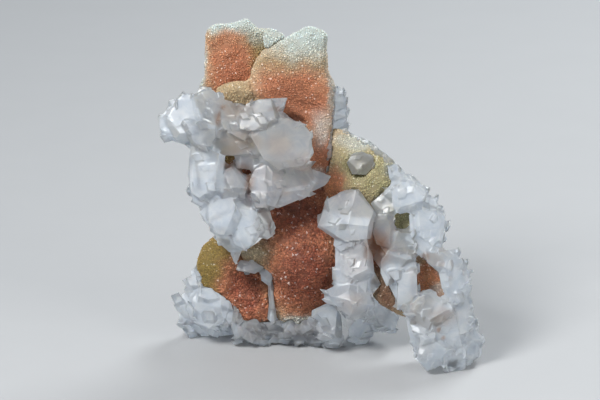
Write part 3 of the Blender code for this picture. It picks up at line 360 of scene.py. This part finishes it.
def stain_and_shade_group():
    """Shader group: druse colour from the zones and the grain's tone, mottled by noise; the deep zone is mostly
    painted shade, low tones are painted darker as painted shade, and the highest tones are mixed towards white as a
    painted glint.
    """
    group = bpy.data.node_groups.new("druse_colour", "ShaderNodeTree")
    for name in ("Bare", "Gold", "Blush", "Rust", "Pale", "Deep"):
        group.interface.new_socket(name, in_out="INPUT", socket_type="NodeSocketColor")
    group.interface.new_socket("Color", in_out="OUTPUT", socket_type="NodeSocketColor")
    group.interface.new_socket("Tone", in_out="OUTPUT", socket_type="NodeSocketFloat")
    nodes = group.nodes
    links = group.links
    entry = nodes.new("NodeGroupInput")
    leave = nodes.new("NodeGroupOutput")
    zone = nodes.new("ShaderNodeAttribute")
    zone.attribute_name = "zones"
    parts = nodes.new("ShaderNodeSeparateColor")
    links.new(zone.outputs["Color"], parts.inputs["Color"])
    tone = nodes.new("ShaderNodeAttribute")
    tone.attribute_name = "tone"
    place = nodes.new("ShaderNodeTexCoord")
    cloud = nodes.new("ShaderNodeTexNoise")
    cloud.inputs["Scale"].default_value = 420.0
    cloud.inputs["Detail"].default_value = 4.0
    links.new(place.outputs["Object"], cloud.inputs["Vector"])
    colour = entry.outputs["Bare"]
    for name, source, start, full in (("Gold", parts.outputs["Blue"], 0.0, 1.0),
                                      ("Blush", parts.outputs["Red"], 0.0, 0.5),
                                      ("Rust", parts.outputs["Red"], 0.5, 1.0),
                                      ("Pale", parts.outputs["Green"], 0.0, 1.0),
                                      ("Deep", zone.outputs["Alpha"], 0.0, 1.0)):
        uneven = nodes.new("ShaderNodeMath")
        uneven.operation = "MULTIPLY_ADD"
        links.new(cloud.outputs["Fac"], uneven.inputs[0])
        links.new(source, uneven.inputs[1])
        links.new(source, uneven.inputs[2])
        cover = nodes.new("ShaderNodeMapRange")
        cover.inputs["From Min"].default_value = 1.5 * start
        cover.inputs["From Max"].default_value = 1.5 * full
        links.new(uneven.outputs["Value"], cover.inputs["Value"])
        mix = nodes.new("ShaderNodeMix")
        mix.data_type = "RGBA"
        links.new(cover.outputs["Result"], mix.inputs["Factor"])
        links.new(colour, mix.inputs["A"])
        links.new(entry.outputs[name], mix.inputs["B"])
        colour = mix.outputs["Result"]
    shade = nodes.new("ShaderNodeMapRange")
    shade.inputs["To Min"].default_value = 0.58
    shade.inputs["To Max"].default_value = 1.38
    links.new(tone.outputs["Fac"], shade.inputs["Value"])
    toned = nodes.new("ShaderNodeHueSaturation")
    links.new(shade.outputs["Result"], toned.inputs["Value"])
    links.new(colour, toned.inputs["Color"])
    # The brightest grains are mixed towards near white: a painted glint.
    glint = nodes.new("ShaderNodeMapRange")
    glint.inputs["From Min"].default_value = GLINTS_ABOVE
    glint.inputs["From Max"].default_value = 0.975
    glint.inputs["To Max"].default_value = 0.38
    links.new(tone.outputs["Fac"], glint.inputs["Value"])
    clear = nodes.new("ShaderNodeMix")
    clear.data_type = "RGBA"
    links.new(glint.outputs["Result"], clear.inputs["Factor"])
    links.new(toned.outputs["Color"], clear.inputs["A"])
    clear.inputs["B"].default_value = (0.95, 0.93, 0.88, 1.0)
    links.new(clear.outputs["Result"], leave.inputs["Color"])
    links.new(tone.outputs["Fac"], leave.inputs["Tone"])
    return group


DRUSE_COLOUR = stain_and_shade_group()
CREAM = (0.56, 0.42, 0.26)
ORANGE = (0.55, 0.225, 0.115)
RED_BROWN = (0.25, 0.066, 0.034)
PALE_GREEN = (0.56, 0.62, 0.58)
OLIVE = (0.28, 0.195, 0.05)
# The deep brown is mostly painted shade: it darkens the neck under the overhanging calcite, the crack and the
# hollows seen through the calcite; low on the big lobe it is the lobe's own dark red-brown.
DEEP_BROWN_AND_SHADE = (0.12, 0.030, 0.012)


def druse_material(name, bare=CREAM, blush=ORANGE, rust=RED_BROWN, pale=PALE_GREEN, gold=OLIVE):
    """Sparkling druse: the shared druse colours, iron-stained, with painted shade and painted glints, and grain
    faces from dull to mirror-bright.
    """
    material = bpy.data.materials.new(name)
    material.use_nodes = True
    nodes = material.node_tree.nodes
    links = material.node_tree.links
    shader = nodes["Principled BSDF"]
    shader.inputs["IOR"].default_value = 1.62
    shader.inputs["Specular IOR Level"].default_value = 0.35
    shader.inputs["Subsurface Weight"].default_value = 0.2
    shader.inputs["Subsurface Radius"].default_value = (1.0, 0.6, 0.4)
    shader.inputs["Subsurface Scale"].default_value = 0.5 * MM
    stains_and_shade = nodes.new("ShaderNodeGroup")
    stains_and_shade.node_tree = DRUSE_COLOUR
    for socket, colour in (("Bare", bare), ("Gold", gold), ("Blush", blush), ("Rust", rust), ("Pale", pale),
                           ("Deep", DEEP_BROWN_AND_SHADE)):
        stains_and_shade.inputs[socket].default_value = (*colour, 1.0)
    links.new(stains_and_shade.outputs["Color"], shader.inputs["Base Color"])
    gloss = nodes.new("ShaderNodeMapRange")
    gloss.inputs["From Min"].default_value = 0.86
    gloss.inputs["From Max"].default_value = 0.94
    gloss.inputs["To Min"].default_value = 0.72
    gloss.inputs["To Max"].default_value = 0.10
    links.new(stains_and_shade.outputs["Tone"], gloss.inputs["Value"])
    links.new(gloss.outputs["Result"], shader.inputs["Roughness"])
    place = nodes.new("ShaderNodeTexCoord")
    fine = nodes.new("ShaderNodeTexNoise")
    fine.inputs["Scale"].default_value = 2600.0
    links.new(place.outputs["Object"], fine.inputs["Vector"])
    bump = nodes.new("ShaderNodeBump")
    bump.inputs["Strength"].default_value = 0.2
    bump.inputs["Distance"].default_value = 0.04 * MM
    links.new(fine.outputs["Fac"], bump.inputs["Height"])
    links.new(bump.outputs["Normal"], shader.inputs["Normal"])
    return material


def druse_piece(name, node, zones, material, seed, cracks=(), crack_depth=0.6 * MM, coarse=()):
    """A dolomite piece: its skin evened out, cracked and made lumpy, then covered with rhombs."""
    chance = np.random.default_rng(seed)

    def add_remesh(item):
        remesh = item.modifiers.new("even", "REMESH")
        remesh.mode = "VOXEL"
        remesh.voxel_size = SKIN_VOXEL

    skin = with_modifiers(merged_copy(node, name), add_remesh)
    waved(skin, LUMPS, seed)
    points = places_of(skin)
    facing = directions_of(skin)
    cut = line_cover(*sheet_place(points), cracks) * (facing[:, 1] < 0.0)
    points -= facing * (crack_depth * cut)[:, None]
    skin.vertices.foreach_set("co", points.astype(np.float32).ravel())
    skin.update()
    places, outward, _ = scattered(skin, DRUSE_PITCH, chance)
    in_crack = line_cover(*sheet_place(places), cracks) * (outward[:, 1] < 0.0) > 0.4
    in_pit = lattice_noise(places, PIT_PITCH, seed + 9) > PITS_ABOVE
    places = places[~in_crack & ~in_pit]
    outward = outward[~in_crack & ~in_pit]
    low, high = DRUSE_SIZES
    coarseness = patch_cover(*sheet_place(places), coarse)
    sizes = (low + (high - low) * chance.random(len(places)) ** 2.0) * (1.0 + COARSER * coarseness)
    grains = druse_tips(places, outward, sizes, chance)
    mesh = joined_mesh(name, (skin, grains))
    print("COUNT", name, sum(len(p.vertices) - 2 for p in mesh.polygons))
    stain_and_shade(mesh, zones, len(skin.vertices), coarseness, chance)
    piece_of(name, mesh, material, node, node)
    return skin


# The front right blade, its neck and the big lower lobe are one growth of dolomite.
# Its top is bleached, its middle stained by iron, and its neck is painted dark brown: painted shadow cast by the
# calcite that overhangs it.
BODY_ZONES = {
    "rust": [(-6, 83, 11.5, 9, 0.5), (-6, 78, 8, 6, 0.3), (-15, 87, 6, 6, 0.22), (0.0, 65, 4.5, 10, 0.65), (-7, 48, 13, 9, 0.95),
             (-5, 30, 11.5, 14, 0.97), (-24, 56, 9, 7, 0.8), (-12, 86, 9, 4, 0.20)],
    "pale": [(-4, 103, 14, 9.5, 1.0), (-0.2, 73.5, 3.0, 5.5, 0.55), (2.8, 86, 1.6, 9, 0.6), (-6, 14.4, 9, 3.0, 0.7),
             (-21, 36, 4, 1.3, 0.2), (4.8, 24, 1.6, 7, 0.4), (-2, 60, 3, 1.4, 0.5)],
    "gold": [(-26, 84, 8, 3.4, 0.18), (-8, 92, 12, 2.2, 0.45), (-28.3, 64, 3, 3.6, 0.9), (-20, 36.5, 5, 1.6, 0.5),
             (4.5, 32, 1.8, 9, 0.5), (-6, 14.5, 9, 2.4, 0.3), (2.0, 80, 2.4, 6, 0.4)],
    # Deep brown here: painted shadow on the neck under the overhanging calcite and painted shade along the crack;
    # low on the lobe, its own dark red-brown.
    "deep": [(-9.5, 76, 5, 1.5, 0.75), (-10, 51, 8, 4, 0.7), (-20, 41, 6, 4, 0.6), (-24, 57, 7, 6, 0.45),
             (-4, 56, 8, 3, 0.5), (-6, 31, 9, 11, 0.32)],
}
BODY_CRACKS = [(-21.7, 87.2, -20.2, 82.0, 0.30), (-12.6, 75.8, -9.0, 77.4, 0.55), (-9.0, 77.4, -4.5, 74.8, 0.45)]
body_skin = druse_piece("dolomite_body_druse", "dolomite_main_body", BODY_ZONES, druse_material("body_druse"),
                        seed=1, cracks=BODY_CRACKS, coarse=[(-6, 30, 16, 26, 1.0)])

# The tall blade behind it on the left, pale along its ragged rim and pink inside.
LEFT_BLADE_ZONES = {
    "rust": [(-28, 94, 7.2, 10, 0.5), (-25, 89, 6, 7, 0.3), (-28, 87, 8, 4, 0.25)],
    "pale": [(-28, 106, 14, 4.0, 1.0), (-36.8, 92, 1.9, 14, 0.9), (-18, 103, 5, 5, 0.6)],
    "gold": [(-19.5, 97.5, 4.2, 6.5, 0.8), (-27, 103, 7, 2.2, 0.35), (-20, 78, 14, 8, 0.2)],
    "deep": [(-24, 66, 9, 5, 0.3)],
}
druse_piece("dolomite_left_blade_druse", "dolomite_left_blade", LEFT_BLADE_ZONES,
            druse_material("left_blade_druse", rust=(0.42, 0.13, 0.07)), seed=2)

# The splinter between the blades' tops, almost white.
SPLINTER_ZONES = {
    "rust": [],
    "pale": [(-14, 100, 6, 6, 0.95)],
    "gold": [(-17, 98, 2, 4, 0.4)],
    "deep": [],
}
druse_piece("dolomite_splinter_druse", "dolomite_blade_splinter", SPLINTER_ZONES,
            druse_material("splinter_druse"), seed=3)

# The lower left lobe: a cupped plate with a yellow rim, darkest low on its right.
LEFT_LOBE_ZONES = {
    "rust": [(-23.5, 25, 7.0, 9, 0.95), (-19, 18, 5, 5, 0.7)],
    "pale": [(-38.6, 30, 1.2, 4, 0.7), (-20, 13.6, 6, 1.6, 0.5)],
    "gold": [(-35, 31, 5.5, 11, 1.0), (-29, 38, 7, 4, 0.8), (-30, 22, 4, 5, 0.6)],
    "deep": [(-20.5, 25.5, 3.6, 3, 0.5), (-24, 37, 5, 3, 0.5)],
}
druse_piece("dolomite_left_lobe_druse", "dolomite_left_lobe", LEFT_LOBE_ZONES,
            druse_material("left_lobe_druse", bare=(0.32, 0.16, 0.065)), seed=4, coarse=[(-22, 24, 9, 12, 1.0)])

# The wing that slopes down to the right leg: yellow-green, its hollows iron-stained and darkest deep inside them by
# painted shade.
WING_ZONES = {
    "rust": [(3.4, 55, 3.8, 7, 0.6), (16.5, 38, 5, 6, 0.85), (32.5, 28, 5, 6, 0.65), (8, 52, 4, 3, 0.4)],
    "pale": [(17, 70, 13, 2.6, 0.7), (24, 61, 5, 3, 0.7), (10, 66, 3, 3, 0.3), (34.6, 25.4, 2.6, 2.0, 0.5),
             (35.0, 31.5, 1.4, 1.8, 0.4)],
    "gold": [(14, 60, 11, 9, 0.85), (24.5, 45, 5, 6, 1.0), (20, 52, 4, 6, 0.9), (30, 24, 6, 3, 0.6),
             (30.6, 31.5, 2.2, 1.6, 0.5), (6, 64, 4, 5, 0.4)],
    "deep": [(20, 24, 5, 6, 0.8), (16.8, 32, 1.6, 4, 0.8), (28, 35, 2, 2.5, 0.4)],
}
wing_skin = druse_piece("dolomite_wing_druse", "dolomite_wing", WING_ZONES,
                        druse_material("wing_druse", rust=(0.62, 0.27, 0.10), gold=(0.42, 0.38, 0.20)), seed=5)


# Calcite: pale plates and rhombs that grew over the dolomite. Thin later layers lie on their
# faces, younger calcite has healed the narrow gaps between them, and their edges are worn.
HEAL_VOXEL = 0.5 * MM
HEAL_SUNK = 0.2 * MM
WINDOW_DEPTH = 4.0 * MM
LARGE_GROUP = (0.20 * MM, 0.28)
SMALL_GROUP = (0.14 * MM, 0.17)
FACE_WAVES = ((4.5 * MM, 0.06 * MM), (1.4 * MM, 0.02 * MM))
SMOOTH_BELOW = math.radians(14.0)
LAYER_AREA = 8.0 * MM * MM
LAYER_PITCH = 2.0 * MM
LAYER_LEAST = 1.0 * MM
LAYER_MOST = 2.6 * MM
LAYER_STRETCH = 0.42
LAYER_TILT = math.radians(30.0)
GAP_DEPTH = 0.55 * MM
GAP_PITCH = 1.7 * MM
GAP_SIZES = (1.0 * MM, 2.6 * MM)
STRIP_PITCH = 0.9 * MM
STRIP_SIZES = (0.7 * MM, 1.5 * MM)
# Open places, where no calcite lies on the dolomite: across, up, half width, half height.
WINDOWS = [(-27.8, 63.2, 3.6, 4.2, 1.0), (-22.8, 58.6, 3.4, 3.6, 1.0), (-22.0, 54.6, 2.2, 3.2, 1.0),
           (24.6, 44.8, 3.0, 3.4, 1.0), (20.2, 52.6, 1.6, 3.6, 1.0), (16.2, 37.8, 4.4, 5.2, 1.0),
           (32.4, 28.0, 4.4, 5.6, 1.0), (28.6, 34.9, 1.4, 1.8, 1.0), (16.6, 31.8, 1.4, 3.4, 1.0),
           (19.6, 23.8, 3.4, 5.2, 1.0)]


def bare_form(node, name):
    """A crystal group's own shape, its almost level neighbouring faces made one."""
    form = bmesh.new()
    form.from_mesh(merged_copy(node, name))
    bmesh.ops.dissolve_limit(form, angle_limit=math.radians(10.0), verts=form.verts[:], edges=form.edges[:])
    mesh = bpy.data.meshes.new(name)
    form.to_mesh(mesh)
    form.free()
    return mesh


def healed(bare, reach):
    """Younger calcite between the plates: the group swollen by reach and drawn in again.

    Gaps narrower than twice the reach stay closed, and all the rest ends a little
    under the plates' own faces.
    """

    def add_closing(item):
        for strength in (reach, -reach - HEAL_SUNK):
            even = item.modifiers.new("even", "REMESH")
            even.mode = "VOXEL"
            even.voxel_size = HEAL_VOXEL
            move = item.modifiers.new("move", "DISPLACE")
            move.mid_level = 0.0
            move.strength = strength
        soft = item.modifiers.new("soft", "SMOOTH")
        soft.iterations = 3

    filling = with_modifiers(bare.copy(), add_closing)
    points = places_of(filling)
    points[open_place(points), 1] += WINDOW_DEPTH
    filling.vertices.foreach_set("co", points.astype(np.float32).ravel())
    filling.update()
    return filling


def open_place(places):
    """Whether each place lies in one of the windows, seen from the front."""
    return (patch_cover(*sheet_place(places), WINDOWS) > 0.4) & (places[:, 1] < 0.0)


def parallel_rhombs(places, outward, sizes, heading, relief, chance):
    """Flattened rhombohedra in nearly parallel growth, one face of each level with its ground.

    The long diagonal leans from outward towards heading; relief is how far the level face
    stands over its place, as a share of the size.
    """
    wanted = np.array(heading) + 0.16 * chance.normal(size=outward.shape)
    towards = unit(wanted - outward * np.sum(wanted * outward, axis=1, keepdims=True))
    lean = LAYER_TILT + 0.06 * chance.normal(size=(len(places), 1))
    upright = outward * np.cos(lean) + towards * np.sin(lean)
    across = unit(np.cross(towards, upright))
    level = (math.sin(LAYER_TILT) * math.sqrt(2.0) + math.cos(LAYER_TILT) * LAYER_STRETCH) / 3.0
    middles = places - outward * ((level - relief) * sizes)[:, None]
    return rhombs(middles, upright, across, sizes, LAYER_STRETCH)


def layers(bare, heading, chance):
    """Later layers on the plates: larger on larger faces, about as many on each."""
    places, outward, area = scattered(bare, LAYER_PITCH, chance)
    size = np.minimum(np.sqrt(area) * chance.uniform(0.22, 0.42, len(places)), LAYER_MOST)
    kept = (size > LAYER_LEAST) & (chance.random(len(places)) < LAYER_AREA / area) & ~open_place(places)
    count = np.count_nonzero(kept)
    relief = chance.uniform(0.04, 0.20, count)
    return parallel_rhombs(places[kept], outward[kept], size[kept], heading, relief, chance)


def gap_crystals(filling, bare, heading, chance):
    """Small crystals on the filling, where it lies well away from the plates' own faces.

    The distance is that from each point to where it lands when drawn onto the plates.
    """
    plates = bpy.data.objects.new("plates", bare)
    bpy.context.scene.collection.objects.link(plates)

    def add_wrap(item):
        wrap = item.modifiers.new("wrap", "SHRINKWRAP")
        wrap.target = plates

    places = places_of(filling)
    away = np.linalg.norm(places_of(with_modifiers(filling, add_wrap)) - places, axis=1)
    bpy.data.objects.remove(plates)
    free = np.flatnonzero((away > GAP_DEPTH) & ~open_place(places))
    free = chance.permutation(free)
    cells = np.floor(places[free] / GAP_PITCH).astype(np.int64) @ np.array([1, 4096, 16777216])
    free = free[np.unique(cells, return_index=True)[1]]
    low, high = GAP_SIZES
    size = low + (high - low) * chance.random(len(free)) ** 1.5
    relief = chance.uniform(0.05, 0.30, len(free))
    return parallel_rhombs(places[free], directions_of(filling)[free], size, heading, relief, chance)


def rim_rhombs(bare, facing, least, pitch, sizes, chance):
    """Rhombohedra standing well out of the faces that turn towards facing by at least that much."""
    places, outward, _ = scattered(bare, pitch, chance)
    kept = (outward @ np.array(facing) > least) & ~open_place(places)
    count = np.count_nonzero(kept)
    low, high = sizes
    size = low + (high - low) * chance.random(count) ** 1.5
    return parallel_rhombs(places[kept], outward[kept], size, facing, chance.uniform(0.15, 0.55, count), chance)


def without_hollows(mesh):
    """Take out the closed shells inside a mesh: connected parts whose signed volume is negative."""
    edges = np.empty(len(mesh.edges) * 2, np.int32)
    mesh.edges.foreach_get("vertices", edges)
    first, second = edges.reshape(-1, 2).T
    label = np.arange(len(mesh.vertices))
    while np.any(label[first] != label[second]):
        lower = np.minimum(label[first], label[second])
        np.minimum.at(label, first, lower)
        np.minimum.at(label, second, lower)
        label = label[label]
    mesh.calc_loop_triangles()
    corners = np.empty(len(mesh.loop_triangles) * 3, np.int32)
    mesh.loop_triangles.foreach_get("vertices", corners)
    corners = corners.reshape(-1, 3)
    a, b, c = np.moveaxis(places_of(mesh)[corners], 1, 0)
    volume = np.bincount(label[corners[:, 0]], np.sum(a * np.cross(b, c), axis=1), len(label))
    form = bmesh.new()
    form.from_mesh(mesh)
    inner = volume[label] < 0.0
    form.verts.ensure_lookup_table()
    bmesh.ops.delete(form, geom=[form.verts[int(k)] for k in np.flatnonzero(inner)], context="VERTS")
    form.to_mesh(mesh)
    form.free()


def one_skin(meshes, seed, detail, share):
    """The outer surface of several overlapping meshes, waved a little, with a share of its faces."""

    def add_union(item):
        union = item.modifiers.new("union", "REMESH")
        union.mode = "VOXEL"
        union.voxel_size = detail

    def add_decimate(item):
        fewer = item.modifiers.new("fewer", "DECIMATE")
        fewer.ratio = share

    mesh = with_modifiers(joined_mesh("skin", meshes), add_union)
    without_hollows(mesh)
    mesh = with_modifiers(mesh, add_decimate)
    mesh.validate()
    waved(mesh, FACE_WAVES, seed)
    mesh.polygons.foreach_set("use_smooth", np.ones(len(mesh.polygons), bool))
    mesh.set_sharp_from_angle(angle=SMOOTH_BELOW)
    return mesh


BROWN_FILM = (0.45, 0.20, 0.07)
PEACH_FILM = (0.86, 0.62, 0.46)
SHADED_GREY = (0.50, 0.47, 0.42)
# Painted highlight: calcite edges are mixed towards this white by how keen they are.
EDGE_HIGHLIGHT_WHITE = (0.92, 0.95, 0.97)
KEEN_EDGE = 0.32
STRIPE_TURN = (0.6, 0.5, 0.0)


def sharpness_of(mesh):
    """How far each point stands out from its neighbours, from 0 on a level face to 1 at a keen edge.

    It is the mean, over a point's edges, of the share of the edge that runs along its normal.
    """
    ends = np.empty(len(mesh.edges) * 2, np.int32)
    mesh.edges.foreach_get("vertices", ends)
    first, second = ends.reshape(-1, 2).T
    points = places_of(mesh)
    directions = directions_of(mesh)
    edge = unit(points[first] - points[second])
    total = np.bincount(first, np.sum(edge * directions[first], axis=1), len(points))
    total -= np.bincount(second, np.sum(edge * directions[second], axis=1), len(points))
    count = np.bincount(ends, minlength=len(points))
    return np.clip(total / np.maximum(count, 1) / KEEN_EDGE, 0.0, 1.0)


def calcite_material(name, clear, milky):
    """Milky calcite: clear and cloudy by turns, its edges whitened by a painted highlight, finely striped by
    growth.
    """
    material = bpy.data.materials.new(name)
    material.use_nodes = True
    nodes = material.node_tree.nodes
    links = material.node_tree.links
    shader = nodes["Principled BSDF"]
    shader.inputs["IOR"].default_value = 1.55
    shader.inputs["Specular IOR Level"].default_value = 0.7
    shader.inputs["Transmission Weight"].default_value = 0.8
    shader.inputs["Subsurface Weight"].default_value = 1.0
    shader.inputs["Subsurface Radius"].default_value = (1.0, 1.0, 1.05)
    shader.inputs["Subsurface Scale"].default_value = 1.5 * MM
    place = nodes.new("ShaderNodeTexCoord")
    cloud = nodes.new("ShaderNodeTexNoise")
    cloud.inputs["Scale"].default_value = 260.0
    cloud.inputs["Detail"].default_value = 6.0
    cloud.inputs["Roughness"].default_value = 0.65
    cloud.inputs["Distortion"].default_value = 0.8
    links.new(place.outputs["Object"], cloud.inputs["Vector"])
    veil = nodes.new("ShaderNodeMapRange")
    veil.inputs["From Min"].default_value = 0.40
    veil.inputs["From Max"].default_value = 0.62
    links.new(cloud.outputs["Fac"], veil.inputs["Value"])
    mix = nodes.new("ShaderNodeMix")
    mix.data_type = "RGBA"
    mix.inputs["A"].default_value = (*clear, 1.0)
    mix.inputs["B"].default_value = (*milky, 1.0)
    links.new(veil.outputs["Result"], mix.inputs["Factor"])
    colour = mix.outputs["Result"]
    zone = nodes.new("ShaderNodeAttribute")
    zone.attribute_name = "zones"
    parts = nodes.new("ShaderNodeSeparateColor")
    links.new(zone.outputs["Color"], parts.inputs["Color"])
    for cover, tint in ((parts.outputs["Red"], BROWN_FILM), (parts.outputs["Green"], PEACH_FILM),
                        (parts.outputs["Blue"], SHADED_GREY), (zone.outputs["Alpha"], EDGE_HIGHLIGHT_WHITE)):
        film_and_painted_light = nodes.new("ShaderNodeMix")
        film_and_painted_light.data_type = "RGBA"
        links.new(cover, film_and_painted_light.inputs["Factor"])
        links.new(colour, film_and_painted_light.inputs["A"])
        film_and_painted_light.inputs["B"].default_value = (*tint, 1.0)
        colour = film_and_painted_light.outputs["Result"]
    links.new(colour, shader.inputs["Base Color"])
    gloss = nodes.new("ShaderNodeMapRange")
    gloss.inputs["To Min"].default_value = 0.22
    gloss.inputs["To Max"].default_value = 0.42
    links.new(cloud.outputs["Fac"], gloss.inputs["Value"])
    links.new(gloss.outputs["Result"], shader.inputs["Roughness"])
    along = nodes.new("ShaderNodeMapping")
    along.inputs["Rotation"].default_value = STRIPE_TURN
    along.inputs["Scale"].default_value = (1.0, 1.0, 7.0)
    links.new(place.outputs["Object"], along.inputs["Vector"])
    stripes = nodes.new("ShaderNodeTexNoise")
    stripes.inputs["Scale"].default_value = 380.0
    stripes.inputs["Detail"].default_value = 4.0
    links.new(along.outputs["Vector"], stripes.inputs["Vector"])
    bump = nodes.new("ShaderNodeBump")
    bump.inputs["Strength"].default_value = 0.30
    bump.inputs["Distance"].default_value = 0.10 * MM
    links.new(stripes.outputs["Fac"], bump.inputs["Height"])
    links.new(bump.outputs["Normal"], shader.inputs["Normal"])
    return material


def strip_crystals(skin, lines, heading, chance):
    """Small crystals on a dolomite skin along lines seen from the front."""
    places, outward, _ = scattered(skin, STRIP_PITCH, chance)
    kept = (line_cover(*sheet_place(places), lines) > 0.4) & (outward[:, 1] < 0.6)
    count = np.count_nonzero(kept)
    low, high = STRIP_SIZES
    size = low + (high - low) * chance.random(count)
    return parallel_rhombs(places[kept], outward[kept], size, heading, chance.uniform(0.2, 0.5, count), chance)


def calcite_piece(name, node, seed, reach, heading, skin=SMALL_GROUP, rims=(), extra=(), pressed=0.0):
    """A crystal group: plates, what healed their gaps, later layers and blades, in one skin."""
    chance = np.random.default_rng(seed)
    detail, share = skin
    bare = bare_form(node, name)
    filling = healed(bare, reach)
    meshes = [bare, filling, layers(bare, heading, chance), gap_crystals(filling, bare, heading, chance), *extra]
    for facing, least, pitch, sizes in rims:
        meshes.append(rim_rhombs(bare, facing, least, pitch, sizes, chance))
    mesh = one_skin(meshes, seed, detail, share)
    points = places_of(mesh)
    points[:, 1] += pressed
    mesh.vertices.foreach_set("co", points.astype(np.float32).ravel())
    across, up = sheet_place(points)
    across = across + 0.5 * lattice_noise(points, 1.6 * MM, 3)
    up = up + 0.5 * lattice_noise(points, 1.6 * MM, 4)
    in_front = points[:, 1] < 2.0 * MM
    # Films: iron brown, peach where dolomite shows through, and grey, partly painted shade.
    films_and_shade = [in_front * patch_cover(across, up, FILMS_AND_SHADE[kind]) for kind in ("brown", "peach", "grey")]
    # The fourth channel is the edges' sharpness, which whitens them in the material: a painted highlight.
    store_colour(mesh, "zones", [*films_and_shade, sharpness_of(mesh)])
    piece_of(name, mesh, MILKY, "milky_calcite", node)
    print("COUNT", name, len(mesh.polygons))


# Iron films, warm tints where dolomite shines through, and greyish crystals: the sunk crystal's own grey, and
# painted shade on crystals in shadow, as those hanging under the arch.
FILMS_AND_SHADE = {
    "brown": [(-29.6, 79.4, 0.8, 1.0, 0.8), (-31.0, 76.0, 0.8, 2.2, 0.8), (34.8, 13.2, 0.8, 0.8, 0.8),
              (36.2, 10.6, 0.8, 0.9, 0.7), (-13.0, 79.0, 2.2, 0.8, 0.5), (16.4, 37.8, 3.6, 5.0, 1.0),
              (30.6, 34.9, 1.2, 1.6, 0.7), (-27.6, 66.0, 2.4, 1.4, 0.4), (-21.9, 57.2, 1.1, 3.6, 0.85),
              (-23.6, 61.2, 1.9, 1.3, 0.7), (-28.0, 62.6, 2.0, 2.0, 0.6)],
    "peach": [(-26.0, 80.0, 5.0, 4.0, 0.5), (-13.0, 68.0, 4.0, 4.0, 0.35), (10.0, 34.0, 5.0, 8.0, 0.3),
              (9.0, 21.0, 4.0, 3.0, 0.4), (-4.0, 12.0, 8.0, 3.0, 0.2), (36.0, 17.0, 4.0, 3.0, 0.45),
              (-24.0, 69.0, 6.0, 3.0, 0.5), (-19.0, 12.0, 6.0, 3.0, 0.2), (-6.0, 63.0, 5.0, 3.0, 0.3)],
    "grey": [(-17.0, 45.5, 3.6, 5.6, 0.7), (11.4, 62.4, 5.0, 4.6, 0.7), (12.0, 14.0, 8.0, 5.0, 0.5),
             (-27.0, 69.0, 8.0, 3.0, 0.35), (30.5, 10.0, 3.0, 7.0, 0.3)],
}
MILKY = calcite_material("milky_calcite", (0.70, 0.76, 0.83), (0.90, 0.93, 0.96))
SMALL_RHOMBS = (1.2 * MM, 2.4 * MM)
LARGE_RHOMBS = (1.8 * MM, 3.4 * MM)
RIGHTWARDS = ((0.95, 0.0, -0.3), 0.70, 2.4 * MM, SMALL_RHOMBS)
DOWNWARDS = ((0.0, -0.5, -0.85), 0.45, 3.2 * MM, LARGE_RHOMBS)
OUTWARDS = ((-0.6, -0.6, -0.5), 0.35, 3.6 * MM, LARGE_RHOMBS)
LEFT_DOWN = (-0.55, -0.2, -0.8)
RIGHT_DOWN = (0.65, -0.2, -0.75)
calcite_piece("calcite_upper_plates", "calcite_upper_cascade", 20, 0.8 * MM, LEFT_DOWN, skin=LARGE_GROUP)
calcite_piece("calcite_rhombs", "calcite_rhomb_cluster", 21, 1.0 * MM, RIGHT_DOWN)
WING_EDGE = [(7.2, 73.0, 17.0, 67.0, 0.9), (17.0, 67.0, 27.0, 58.4, 1.3)]
BLADE_EDGE = [(4.4, 84.9, 3.8, 73.5, 1.0), (3.8, 73.5, 2.9, 66.9, 1.1), (2.9, 66.9, 2.3, 58.5, 1.0)]
wing_edge = strip_crystals(wing_skin, WING_EDGE, RIGHT_DOWN, np.random.default_rng(31))
blade_edge = strip_crystals(body_skin, BLADE_EDGE, RIGHT_DOWN, np.random.default_rng(32))
calcite_piece("calcite_right_plates", "calcite_right_cascade", 22, 1.0 * MM, RIGHT_DOWN, skin=LARGE_GROUP,
              rims=[RIGHTWARDS], extra=[wing_edge])
calcite_piece("calcite_left_foot", "calcite_lower_left_cluster", 23, 1.4 * MM, LEFT_DOWN, rims=[OUTWARDS])
calcite_piece("calcite_vein_plates", "calcite_lower_vein", 24, 0.3 * MM, LEFT_DOWN)
calcite_piece("calcite_base_row", "calcite_base_fringe", 25, 1.0 * MM, LEFT_DOWN, rims=[DOWNWARDS])
calcite_piece("calcite_sunk_crystal", "calcite_wing_crystal", 26, 0.3 * MM, RIGHT_DOWN, pressed=1.9 * MM)
calcite_piece("calcite_arch_crystals", "calcite_hanging_crystals", 27, 0.6 * MM, RIGHT_DOWN, rims=[DOWNWARDS])
calcite_piece("calcite_blue_crystals", "calcite_edge_crystals", 28, 0.6 * MM, RIGHT_DOWN, rims=[RIGHTWARDS],
              extra=[blade_edge])
calcite_piece("calcite_back_crystals", "calcite_back_cluster", 29, 0.8 * MM, LEFT_DOWN)
